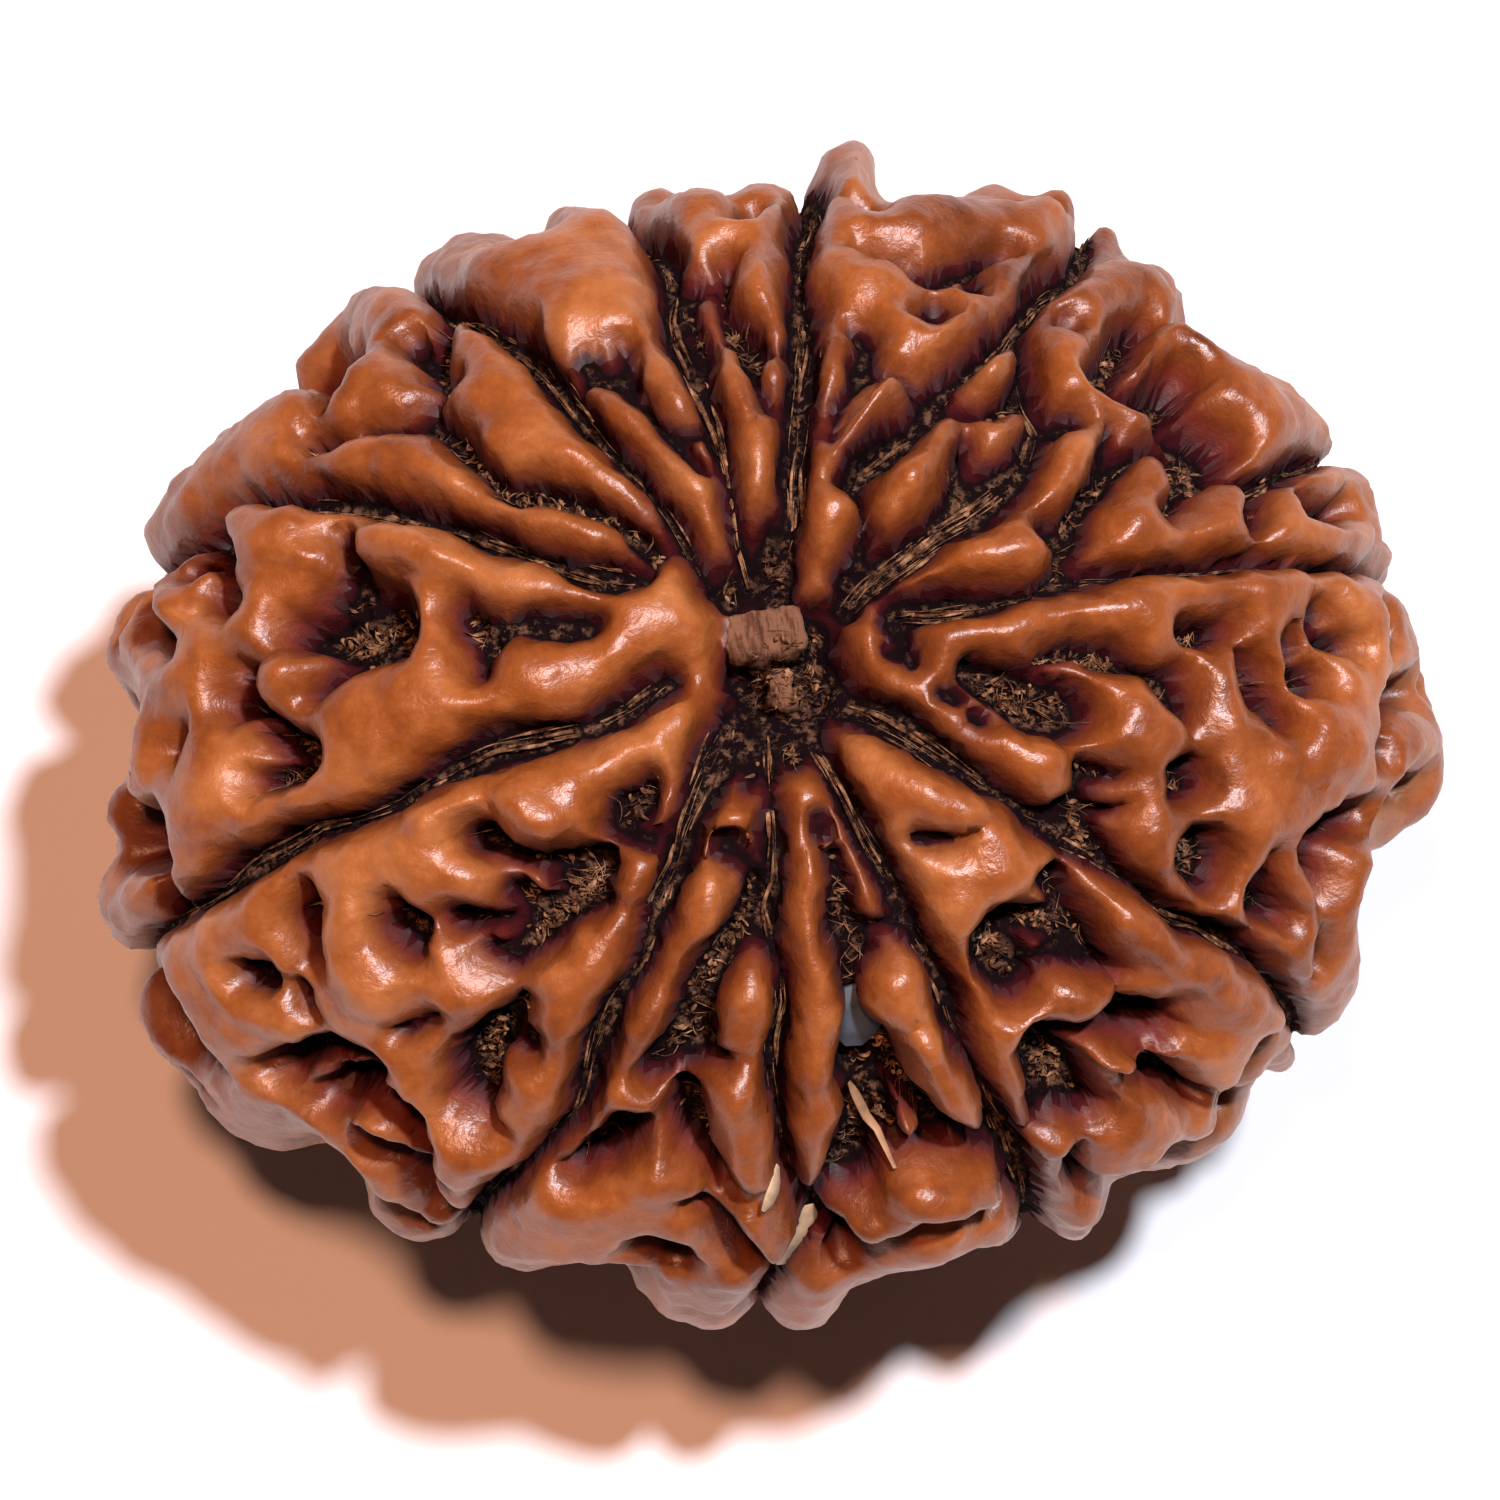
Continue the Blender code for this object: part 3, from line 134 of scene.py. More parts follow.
NORTH_HOLLOWS = (
    (0.95, (18.8, 14, 1.1), (19.5, 17, 0.9), (20, 19.5, 0.5)),
    (0.55, (8.2, 20.5, 0.3), (9.2, 24, 0.4), (11, 26.8, 0.4), (12, 28.5, 0.5)),
    (0.9, (9.7, 15.2, 0.6), (10, 12, 0.5), (9.5, 9.5, 0.7)),
    (0.5, (12.0, 28.5, 0.9), (12.8, 32, 0.9), (12.3, 33.5, 0.8)),
    (0.6, (14.3, 27, 0.4), (16, 26.1, 0.5)),
    (0.6, (18.7, 34.7, 0.8), (20.2, 36.6, 0.8)),
    (0.7, (14.8, 45.5, 0.4), (16, 44.3, 0.7), (18.3, 43.6, 1.1), (20.2, 41.3, 0.9), (22, 43, 1.0),
     (25, 45.5, 1.0), (28, 47.4, 1.2), (29.8, 48.3, 0.7)),
    (0.45, (24.5, 39.3, 0.9), (25.4, 42.6, 0.4)),
    (0.5, (15, 58, 0.5), (16.8, 57, 0.8), (16.8, 54, 0.7)),
    (1.0, (20.2, 23.2, 1.0), (22.6, 22.6, 1.2), (25.2, 24.3, 1.0), (27, 27, 0.6)),
    (1.0, (3.0, 32.4, 0.8), (2.2, 35, 1.2), (1.2, 38, 0.8), (0.7, 41, 0.6), (0.9, 44, 0.5),
     (1.7, 47, 0.5)),
    (0.45, (3.2, 24.6, 0.3), (2.6, 27, 0.4), (2.3, 30, 0.5), (2.8, 32, 0.6)),
    (0.6, (3.7, 53.5, 0.4), (4.8, 56.5, 0.7), (5.5, 59.5, 0.6), (6, 63, 0.4)),
    (0.9, (-1.6, 45, 0.9), (-2.5, 43, 1.2), (-3.3, 41.5, 0.8)),
    (0.8, (-1.9, 31, 0.4), (-1.6, 34, 0.4), (-2.1, 38, 0.4), (-2.5, 41, 0.5)),
    (0.6, (-3.2, 18.5, 0.3), (-4.2, 20.5, 0.5), (-5.3, 23, 0.6), (-6.8, 26, 0.6), (-8.4, 29, 0.6),
     (-9.0, 32.5, 0.8), (-8.8, 35, 0.4)),
    (0.6, (-5.3, 23.4, 0.5), (-3.4, 23.3, 0.4), (-2, 23.6, 0.3)),
    (0.35, (-12.2, 34.2, 1.0), (-11.5, 32, 1.2), (-10, 31, 0.9)),
)
WEST_HOLLOWS = (
    (0.8, (-8.0, 11, 0.9), (-10.3, 14.2, 1.0), (-13.5, 17, 1.2), (-17.5, 19.2, 1.3), (-20.8, 21, 0.8),
     (-23.3, 24.5, 0.7), (-24.9, 28, 0.8), (-26.8, 31, 1.0), (-31, 32.1, 1.0), (-34.5, 33, 0.6)),
    (0.75, (-26.3, 48.5, 1.0), (-26.8, 45, 0.8), (-27, 41, 0.9), (-27, 37.5, 1.0), (-25.3, 35.8, 1.2),
     (-27.5, 34, 0.8), (-28.3, 32, 0.8)),
    (0.6, (-30, 46, 0.6), (-29, 43, 0.7), (-28, 41, 0.5)),
    (1.15, (-39, 39.2, 1.0), (-38.3, 41.7, 1.4), (-39.5, 45, 1.3), (-42, 49, 1.3), (-44, 54, 1.3),
     (-47, 61, 1.6)),
    (0.7, (-37.3, 43, 0.5), (-38, 48, 0.5), (-39, 51, 0.3)),
    (0.8, (-41.5, 35, 0.4), (-40, 33.4, 0.9), (-37.3, 32.3, 0.5)),
    (1.0, (-25.2, 8, 1.0), (-23.6, 5, 2.0), (-24.4, 1.5, 0.9)),
    (0.55, (-22.5, 6, 1.2), (-19, 5.2, 1.5), (-14.5, 4.3, 0.9)),
    (1.25, (-42.8, 10.2, 1.6), (-38, 9.3, 2.6), (-34, 9.5, 3.0), (-32.6, 7.2, 1.9)),
    (0.9, (-36, 13.5, 1.0), (-38.5, 13, 0.8)),
    (0.9, (-35.5, 6, 1.4), (-39, 4.2, 1.2), (-41, 3, 0.9)),
    (0.5, (-36.5, 19.5, 0.4), (-36, 17, 0.5), (-36.3, 14.5, 0.8)),
    (1.15, (-50.3, 16.2, 0.8), (-52.4, 18.8, 1.7), (-51.2, 21.5, 1.2), (-52.3, 24, 1.2), (-54, 27, 1.5),
     (-56, 30.5, 2.0)),
    (0.5, (-58.5, 25, 0.8), (-56.3, 24, 0.6)),
    (1.1, (-51, 4.7, 1.2), (-49, 4.8, 1.4)),
    (0.6, (-49.6, 8, 0.8), (-46.6, 7.3, 0.5)),
    (1.05, (-47.8, 1.5, 0.8), (-45.5, -1, 1.9), (-43.6, -3.1, 2.1), (-46, -4.3, 1.1), (-49, -4.8, 0.7)),
    (0.7, (-60.5, 1.8, 0.9), (-58.8, 3.2, 0.6)),
    (1.1, (-60, 14.5, 0.9), (-63.5, 17.5, 1.3), (-66.5, 21.5, 1.8), (-66, 26, 1.8), (-60, 30, 1.6)),
    (1.4, (-66.8, -8.3, 3.0), (-74, -7, 2.8), (-82, -6, 2.5)),
    (0.8, (-68, -14, 1.2), (-70, -17.5, 1.6)),
)
SOUTH_WEST_HOLLOWS = (
    (0.9, (-11.0, -12.3, 0.8), (-12.8, -14.3, 1.8), (-14, -16, 1.0)),
    (0.35, (-11.6, -17.8, 0.7), (-13.0, -17.2, 0.5)),
    (1.05, (-26.2, -15.6, 1.5), (-24.2, -17.6, 0.7), (-20, -19, 0.6), (-16, -19, 0.7)),
    (0.95, (-16.4, -20.8, 1.3), (-19, -21, 1.9), (-17.5, -23, 1.8), (-20.5, -24, 1.6),
     (-23, -25.8, 2.0), (-25.6, -28, 1.0)),
    (0.9, (-24.4, -21.5, 1.3), (-23.0, -23.8, 1.2)),
    (1.0, (-29.6, -23.2, 1.7), (-26.6, -24.2, 0.8)),
    (0.6, (-28, -27, 0.8), (-26.4, -28.6, 0.6)),
    (1.05, (-36, -20.6, 1.0), (-35.5, -23, 2.2), (-35.4, -25.4, 1.1)),
    (1.05, (-45.4, -18.7, 1.2), (-46.8, -21.6, 1.9), (-47, -25, 1.2)),
    (0.6, (-56, -26.2, 1.0), (-54, -26.8, 1.2)),
    (0.6, (-49.6, -29.2, 0.9), (-49.4, -31.5, 0.9)),
    (0.4, (-39.6, -35, 0.4), (-37, -34.5, 0.3), (-35, -33.7, 0.3)),
    (1.1, (-29.6, -36.5, 1.2), (-31.6, -38.5, 2.0), (-33, -41.6, 2.6), (-34.4, -44.8, 2.0),
     (-33, -47.2, 1.0)),
    (0.8, (-25.6, -32.5, 0.5), (-27.4, -34.8, 0.8), (-29.8, -36.3, 1.2)),
    (0.45, (-26.6, -38.2, 1.0), (-26.0, -37.0, 0.8)),
    (1.1, (-59, -39.5, 1.5), (-53, -37.6, 1.8), (-48.5, -37.2, 1.6), (-45, -38.7, 1.2)),
    (1.25, (-54, -44.6, 1.4), (-50, -42.8, 1.7), (-46.5, -43.2, 2.1), (-43.6, -45.6, 2.1),
     (-43, -48.4, 1.4), (-43, -52, 0.6), (-42.6, -56, 0.4)),
    (1.25, (-49, -51.6, 2.1), (-47.6, -55, 2.4), (-46.5, -59, 2.6), (-46, -66, 2.8)),
    (0.9, (-72, -28, 3.5), (-78, -33, 4.5)),
)
SOUTH_HOLLOWS = (
    (0.35, (-5.4, -19.2, 0.6), (-4.6, -20.4, 0.4)),
    (0.3, (-3.7, -21.2, 0.4), (-3.2, -22.2, 0.4)),
    (1.0, (-3.6, -23.6, 0.5), (-4.2, -26.5, 1.1), (-5.6, -29, 1.4), (-7.6, -31.6, 1.7),
     (-9.5, -34.6, 1.9), (-10.4, -38, 2.2), (-11.6, -40.8, 1.8), (-8.6, -41.6, 1.2)),
    (0.8, (-12.6, -41, 1.4), (-15.2, -42.8, 0.6)),
    (1.1, (-12.2, -45.6, 1.0), (-12.6, -49, 1.7), (-12.4, -53, 1.5), (-11.4, -56.4, 0.7),
     (-10.7, -59, 0.4)),
    (1.0, (-14, -60.8, 0.6), (-11.8, -63, 0.8), (-11, -67, 0.9), (-9.5, -71.2, 0.8),
     (-7.2, -73.6, 0.7)),
    (1.1, (0.4, -68.6, 1.4), (2.0, -72.0, 1.9), (0.6, -75.6, 1.0)),
    (1.05, (-18.4, -49, 1.2), (-19.6, -51.5, 1.5), (-22.6, -53.6, 1.4), (-25.5, -55.4, 1.1)),
    (1.0, (-19.5, -68, 1.9), (-18, -72, 1.2)),
    (1.0, (-26, -74, 2.0), (-33, -78, 2.5)),
    (0.3, (2.8, -17.6, 0.3), (3.0, -19.4, 0.4)),
    (0.9, (3.6, -22, 0.5), (3.9, -25, 0.8), (3.7, -27.6, 1.0), (4.0, -30, 1.4), (5.0, -32.2, 1.7),
     (4.3, -34.2, 0.9), (4.1, -36, 0.6)),
    (0.9, (6.0, -29.8, 0.5), (8.2, -30.2, 0.6)),
    (1.1, (4.0, -37, 0.7), (4.3, -41, 1.1), (4.0, -46, 1.8), (4.6, -50, 1.5), (3.7, -54, 2.0),
     (3.0, -58, 2.1), (2.0, -61.8, 2.4), (-0.5, -63, 1.3), (-2.2, -65, 0.8)),
    (1.0, (6.2, -41, 0.8), (6.8, -45, 1.0), (7.4, -48, 0.8), (9.4, -51, 0.6), (11.6, -54, 0.9),
     (14.5, -57, 1.4), (17.5, -59.5, 1.2)),
    (1.0, (5.8, -52, 0.7), (6.2, -55, 0.6), (7.2, -56.9, 0.7), (9.6, -56.5, 1.1), (12, -57.4, 1.0)),
    (0.9, (5, -70.8, 0.6), (8, -69.6, 1.1), (11, -67.6, 1.1), (14, -66.6, 0.8), (18, -68.6, 1.0)),
)
SOUTH_EAST_HOLLOWS = (
    (0.35, (11, -21, 0.7), (14, -21.3, 0.7)),
    (0.9, (24.5, -19.7, 0.6), (27.5, -20.3, 0.7), (30, -20.6, 0.5)),
    (0.6, (20.8, -36, 0.6), (24, -36.2, 0.5), (27, -37.5, 0.4)),
    (1.0, (17.4, -32, 1.4), (18, -35, 2.0), (19.2, -38, 1.5)),
    (1.0, (19.8, -31.4, 1.2), (23.3, -32.4, 1.7), (24.4, -34.8, 1.2)),
    (1.1, (23.2, -27, 0.9), (24.4, -29.5, 0.8), (25.4, -32, 1.0), (26.8, -35, 1.1), (28.5, -37.5, 0.9),
     (29.8, -39, 0.4)),
    (1.3, (29.5, -42.8, 1.2), (31, -44.8, 2.2), (34.8, -46, 2.4), (36.6, -47.4, 1.4)),
    (1.1, (21.8, -45, 1.2), (26, -44.8, 1.0), (29, -44, 1.3)),
    (1.0, (22, -46.6, 1.7), (23.8, -51, 2.7), (26, -54.6, 2.5), (28.4, -57.4, 1.3)),
    (1.15, (33, -51.3, 0.9), (35.5, -52.8, 1.5), (38.5, -55.5, 1.3), (41, -58, 1.0), (44.5, -61, 0.8)),
    (0.6, (22, -53, 0.6), (22.5, -57, 0.7)),
    (0.8, (27.3, -62, 0.8), (28, -67, 0.9), (31, -72, 0.8)),
    (1.0, (34, -72, 0.8), (40, -74, 1.5), (48, -78, 2.0)),
    (0.6, (50.4, -53.5, 1.0), (50, -57, 1.2), (50, -62, 1.4)),
)
EAST_HOLLOWS = (
    (0.55, (11.6, 0.8, 0.9), (12.1, -1.2, 0.7), (12.4, -3.3, 0.8)),
    (0.45, (10.6, -1.9, 0.6), (10.8, -2.1, 0.6)),
    (0.35, (14.6, -6.8, 0.7), (15.5, -7.4, 0.7)),
    (0.45, (17.1, -9.9, 0.8), (17.5, -10.4, 0.8)),
    (1.05, (17.4, -4.8, 1.3), (20, -6.8, 1.9), (23.2, -9.4, 2.3), (25.2, -11.3, 1.1)),
    (0.9, (22, -6.5, 1.0), (25.4, -8.5, 1.2), (26.5, -10.6, 1.1)),
    (0.9, (24, -4.3, 0.5), (27, -3.9, 0.9), (30.5, -4.9, 1.2), (33.6, -6.3, 1.0), (36, -7.7, 1.7),
     (37, -10.5, 1.5), (37.3, -12.3, 0.8)),
    (1.1, (38, -2.3, 1.0), (40.5, -2.6, 1.3), (43, -2, 0.8)),
    (1.1, (44.9, -6, 1.0), (45.9, -9, 1.2), (47.4, -11.4, 0.9), (48.4, -12.7, 0.4)),
    (0.8, (51.6, -7.5, 0.9), (53.7, -8.2, 0.7)),
    (0.6, (50.6, -3.6, 0.8), (50.8, -4.3, 0.8)),
    (0.8, (54.8, -1.2, 1.1), (56.5, 0.3, 0.8)),
    (0.7, (55.5, -2.6, 0.5), (58, -3.4, 0.9), (59.6, -3.8, 0.8)),
    (0.6, (68.2, 0.2, 1.3), (68.6, -1.6, 1.3)),
    (1.15, (65.4, -11.5, 1.3), (67.5, -11, 1.7), (71, -9.5, 1.3), (75, -8.3, 1.1), (82, -7.5, 1.4)),
    (0.4, (63.5, -16.3, 0.7), (66.5, -16.3, 0.8)),
    (0.75, (26.5, -15.9, 0.6), (29, -17, 0.8), (30.4, -17.3, 0.4)),
    (1.0, (26.8, -17.4, 0.7), (26.2, -20, 0.8), (27, -23, 1.0), (28.6, -25.6, 1.0)),
    (1.0, (35.8, -17.3, 1.2), (37.9, -16.6, 1.1)),
    (0.9, (36, -19.3, 1.2), (38.2, -19, 1.0)),
    (1.05, (37.4, -25, 1.2), (39.6, -25.3, 1.2), (39.6, -28, 1.6), (37.4, -27, 1.6)),
    (0.8, (39.6, -28.4, 1.2), (39.9, -30, 0.7)),
    (1.1, (47.4, -28, 0.9), (46.6, -31, 2.1), (48.4, -33.8, 1.9), (51, -36, 1.0)),
    (1.2, (53.4, -26.6, 2.1), (57.5, -25.6, 1.8), (63, -24.4, 1.3)),
    (1.1, (54.8, -29, 1.8), (56, -32, 1.2), (56, -34, 0.8)),
    (0.5, (56.6, -38.6, 0.4), (57.3, -41, 0.4), (58, -43.6, 0.3)),
)
NORTH_EAST_HOLLOWS = (
    (0.7, (32.6, 15.8, 0.5), (33.8, 18.6, 0.7), (34.6, 21, 0.5)),
    (0.95, (26.5, 9, 1.0), (28.5, 8.5, 1.3), (29.6, 11, 1.1), (32, 13.8, 1.0), (34.5, 16.3, 0.9),
     (37, 18.6, 1.0), (40, 19.2, 1.3)),
    (0.9, (27.3, 4.6, 0.6), (27.7, 6.5, 0.7), (28.4, 8.4, 1.1)),
    (0.95, (38.7, 11, 1.0), (40.5, 12.6, 1.1), (41.3, 15, 1.2)),
    (1.25, (38, 26, 1.9), (41, 25.6, 2.1), (44, 28.5, 1.9), (45.8, 30, 1.1)),
    (1.25, (42, 23.4, 1.9), (45.5, 22.5, 2.2), (48, 21.3, 1.8), (46.4, 18.6, 1.8), (43, 18.6, 1.8),
     (41.2, 17, 1.5)),
    (0.9, (34.8, 27, 1.2), (36.5, 29.5, 1.2), (38.3, 32, 1.2), (40.2, 35, 1.0), (42, 37.5, 0.7),
     (44.5, 39.5, 0.5)),
    (0.6, (32.5, 34.4, 0.7), (33.3, 35.5, 0.7)),
    (0.6, (28.5, 21.4, 0.8), (31, 22, 0.8)),
    (0.9, (48.4, 10.4, 1.0), (50, 12.3, 1.1), (51.3, 14.4, 0.7)),
    (1.0, (57.5, 13.4, 1.2), (59.5, 14.5, 1.7), (62.5, 14.8, 1.5), (66, 16, 1.2), (71, 18.5, 0.8)),
    (0.9, (36.5, 60, 0.8), (40, 64, 1.2)),
)

# Deep hollows just inside the rim.
RIM_HOLLOWS = (
    (1.2, (50, 38, 1.0), (56, 43, 2.2), (59, 47, 1.6)),
    (1.1, (66, -34, 1.6), (69, -29, 2.2), (71, -24, 1.2)),
    (0.9, (52, -66, 1.0), (54, -70, 1.3)),
    (1.0, (22.5, 59, 0.8), (23.5, 63, 1.4)),
    (0.9, (-17.5, 60, 0.7), (-18.5, 66, 1.0)),
    (1.0, (-49.5, 46.5, 0.9), (-52, 50, 1.6)),
    (1.1, (-73, 31, 1.6), (-76, 27, 1.4)),
    (1.1, (-82, -2, 2.0), (-84, -7, 1.6)),
    (1.1, (-80, -30, 1.8), (-84, -26, 2.6)),
    (1.1, (-61, -60, 1.4), (-57, -65, 2.2), (-54, -70, 1.4)),
)

# The outline of the rim seen from over the pole: bearing in degrees, and millimetres out from the skin,
# at the top of each knob and the bottom of each valley.
RIM_OUTLINE = (
    (5, -0.20), (12, -0.22), (22, -0.03), (30, -0.55), (38.5, -1.50), (45, -0.12), (50.3, -0.30),
    (53, 0.42), (57, 0.42), (59.5, 0.0), (62, -0.10), (70.5, -0.85), (72.8, -0.70), (75.2, 0.42),
    (78, 0.42), (80.8, -0.30), (83, -0.35), (87.5, -0.78), (93, -0.33), (101.5, -0.22), (104.6, -0.95),
    (112, -0.15), (120.5, 0.03), (125, -0.28), (129, -0.28), (134, -0.95), (140, -0.25), (150, -0.03),
    (157, -0.05), (163, -0.13), (172, -1.30), (181, -0.25), (190, 0.14), (203, 0.36), (211, 0.25),
    (223, -1.00), (228, -0.22), (240, -0.26), (249.5, -1.12), (256, -0.02), (261, 0.20), (267, 0.33),
    (272.5, -0.50), (275, -0.65), (281, -1.20), (286.5, -0.20), (291.5, 0.10), (297, -0.85),
    (306, -0.15), (314, -0.68), (318, 0.20), (325, -0.10), (332, -1.25), (337, -1.25), (348, 0.12),
    (354, -0.10), (365, -0.20),
)
RIM_DROP = 0.30
RIM_POLAR = (62.0, 82.0, 106.0, 130.0)

# Knobs that stand over the ridges: height in millimetres, then east, north and half width in degrees.
RIDGE_KNOBS = (
    (0.35, (-40, -27, 5.6), (-36.5, -23, 6.0)),
    (0.25, (-58, -23, 4.5), (-56, -28, 4.5)),
    (0.35, (-30, -11.5, 3.2), (-27, -12, 2.5)),
    (0.40, (-22, -12.5, 2.6), (-20.5, -14.5, 2.2)),
    (0.30, (-49, 25, 3.0), (-43, 21, 4.0), (-39.5, 18, 2.4)),
    (0.40, (-33.5, 17, 2.2), (-28.5, 15.5, 2.8), (-25, 12, 2.0)),
    (0.35, (-57.5, 17.5, 2.2), (-61, 23, 2.2)),
    (0.35, (-44.8, 5.6, 2.0), (-43.5, 5.4, 1.8)),
    (0.25, (-7.6, -42, 2.0), (-7.5, -50, 2.6), (-7.5, -57, 2.4)),
    (0.40, (-9, -62, 2.0), (-7, -68, 2.5)),
    (0.35, (3, -66.5, 1.7), (3.5, -69, 1.5)),
    (0.35, (8, -61, 2.3), (17, -65.5, 1.3)),
    (0.35, (7.2, -52.3, 1.1), (7.8, -53.5, 1.1)),
    (0.35, (10, -42, 1.6), (12.5, -48, 2.0), (15, -54.5, 1.3)),
    (0.30, (27, -29, 1.6), (35, -36, 2.8), (44, -43, 3.8), (51, -48, 2.2)),
    (0.35, (28, -48.5, 1.2), (36, -50.5, 1.5)),
    (0.45, (8.6, 17.6, 1.3), (14, 24.8, 1.6)),
    (0.35, (11.3, 10.5, 1.5), (14.5, 15, 1.9), (18.5, 20, 1.5)),
    (0.40, (23, 26, 1.3), (25.6, 28.8, 1.5)),
    (0.30, (19, 30, 1.2), (23.5, 34, 1.6)),
    (0.30, (10, -13.5, 2.0), (14, -18.5, 2.6)),
    (0.25, (48, -14, 4.5), (54, -15, 5.0)),
)

# Pits of the sides that the top view hides, placed by rule between the furrows.
SIDE_SEED = 12
SIDE_PIT_EVERY = 13.0
SIDE_POLAR = (76.0, 92.0)
SIDE_HALF_WIDTH = (0.9, 2.1)
SIDE_HALF_LENGTH = (1.5, 5.0)
SIDE_PIT_DEPTH = (0.7, 1.2)


def unit_vectors(places):
    """Directions from the bead's middle for an array of (east, north) angles."""
    polar = np.radians(np.hypot(places[:, 0], places[:, 1]))
    round_about = np.arctan2(places[:, 1], places[:, 0])
    return np.stack((np.sin(polar) * np.cos(round_about), np.sin(polar) * np.sin(round_about),
                     np.cos(polar)), axis=1)


def side_pits():
    """Pits near the equator, a few in each gap between two furrows."""
    rng = np.random.RandomState(SIDE_SEED)
    pits = []
    ends = EQUATOR_FURROWS[1:] + (EQUATOR_FURROWS[0] + 360.0,)
    for start, end in zip(EQUATOR_FURROWS, ends):
        count = max(1, round((end - start) / SIDE_PIT_EVERY) - 1)
        for number in range(count):
            share = (number + 1 + rng.uniform(-0.15, 0.15)) / (count + 1)
            turn = math.radians(start + (end - start) * share)
            polar = rng.uniform(*SIDE_POLAR)
            length = rng.uniform(*SIDE_HALF_LENGTH)
            lean = rng.uniform(-0.03, 0.03)
            half = rng.uniform(*SIDE_HALF_WIDTH)
            top = (polar - length, turn - lean)
            foot = (polar + length, turn + lean)
            path = tuple((far * math.cos(angle), far * math.sin(angle), half) for far, angle in (top, foot))
            pits.append((rng.uniform(*SIDE_PIT_DEPTH),) + path)
    return tuple(pits)


HOLLOWS = (POLE_HOLLOWS + NORTH_HOLLOWS + WEST_HOLLOWS + SOUTH_WEST_HOLLOWS + SOUTH_HOLLOWS
           + SOUTH_EAST_HOLLOWS + EAST_HOLLOWS + NORTH_EAST_HOLLOWS + RIM_HOLLOWS + side_pits())
CUTS = [(FURROW_DEPTH, FURROW_RIM_DEPTH, path) for path in FURROWS.values()]
CUTS += [(0.001 * HOLLOW_DEEPENING * hollow[0],) * 2 + (hollow[1:],) for hollow in HOLLOWS]


def gap_to_path(directions, path, reach):
    """Distance in metres from each direction to the edge of a tapering path, and which are near it."""
    places = np.array(path)
    stretch = np.radians(np.hypot(places[:, 0], places[:, 1])) + 1e-6
    half = np.radians(places[:, 2]) * (0.5 + 0.5 * np.sin(stretch) / stretch)
    knots = unit_vectors(places)
    middle = knots.mean(axis=0)
    around = np.linalg.norm(knots - middle, axis=1).max() + half.max() + reach
    close = np.nonzero(((directions - middle) ** 2).sum(axis=1) < around ** 2)[0]
    gap = np.full(len(close), 1.0)
    for start, end, wide, narrow in zip(knots[:-1], knots[1:], half[:-1], half[1:]):
        run = end - start
        offset = directions[close] - start
        along = np.clip(offset @ run / (run @ run), 0.0, 1.0)
        distance = np.linalg.norm(offset - along[:, None] * run, axis=1) - (wide + along * (narrow - wide))
        gap = np.minimum(gap, distance)
    near = gap < reach
    return close[near], gap[near] * MEAN_RADIUS


def smooth_step(value, low, high):
    """0 below low, 1 above high, smooth between."""
    share = np.clip((value - low) / (high - low), 0.0, 1.0)
    return share * share * (3.0 - 2.0 * share)


def knob_rise(directions):
    """How far the knobs lift the surface."""
    rise = np.zeros(len(directions))
    for knob in RIDGE_KNOBS:
        inside, gap = gap_to_path(directions, knob[1:], 0.0)
        half = MEAN_RADIUS * math.radians(np.mean([spot[2] for spot in knob[1:]]))
        share = np.clip(-gap / half, 0.0, 1.0)
        swell = 0.001 * knob[0] * (1.0 - (1.0 - share) ** 2) ** KNOB_ROUNDNESS
        rise[inside] = np.maximum(rise[inside], swell)
    return rise


def cuts_at(directions):
    """Height over the skin, gap to the nearest cut's edge and depth of cut for one half's relief."""
    closeness = np.zeros(len(directions))
    weight = np.zeros(len(directions))
    weighted_depth = np.zeros(len(directions))
    rim_share = smooth_step(np.degrees(np.arccos(np.clip(directions[:, 2], -1.0, 1.0))), *FURROW_FADE)
    for top_depth, rim_depth, path in CUTS:
        near, gap = gap_to_path(directions, path, REACH / MEAN_RADIUS)
        closeness[near] += np.exp(-gap / BLEND)
        share = np.exp(-gap / DEPTH_BLEND)
        weight[near] += share
        weighted_depth[near] += (top_depth + (rim_depth - top_depth) * rim_share[near]) * share
    touched = closeness > 0.0
    gap = np.full(len(directions), REACH)
    gap[touched] = np.minimum(-BLEND * np.log(closeness[touched]), REACH)
    depth = np.zeros(len(directions))
    depth[touched] = weighted_depth[touched] / weight[touched]
    rise = np.clip(gap / SHOULDER, 0.0, 1.0)
    cut = depth * (1.0 - np.sqrt(1.0 - (1.0 - rise) ** 2))
    cut += depth * FLOOR_SAG * (1.0 - np.exp(np.minimum(gap, 0.0) / FLOOR_SPREAD))
    dome = DOME_HEIGHT * (1.0 - np.exp(-np.maximum(gap, 0.0) / DOME_SPREAD))
    return np.stack((dome + knob_rise(directions) - cut, gap, cut), axis=1)


def rim_rise(directions, level):
    """How far the rim's knobs stand out and its valleys sink, smooth from one to the next."""
    bearings, rises = np.array(RIM_OUTLINE).T
    turn = (np.degrees(np.arctan2(directions[:, 1], directions[:, 0])) - bearings[0]) % 360.0 + bearings[0]
    start = np.clip(np.searchsorted(bearings, turn, side="right") - 1, 0, len(bearings) - 2)
    share = smooth_step((turn - bearings[start]) / (bearings[start + 1] - bearings[start]), 0.0, 1.0)
    rise = rises[start] + share * (rises[start + 1] - rises[start]) - RIM_DROP
    return 0.001 * rise * smooth_step(level, *RIM_POLAR[:2]) * (1.0 - smooth_step(level, *RIM_POLAR[2:]))


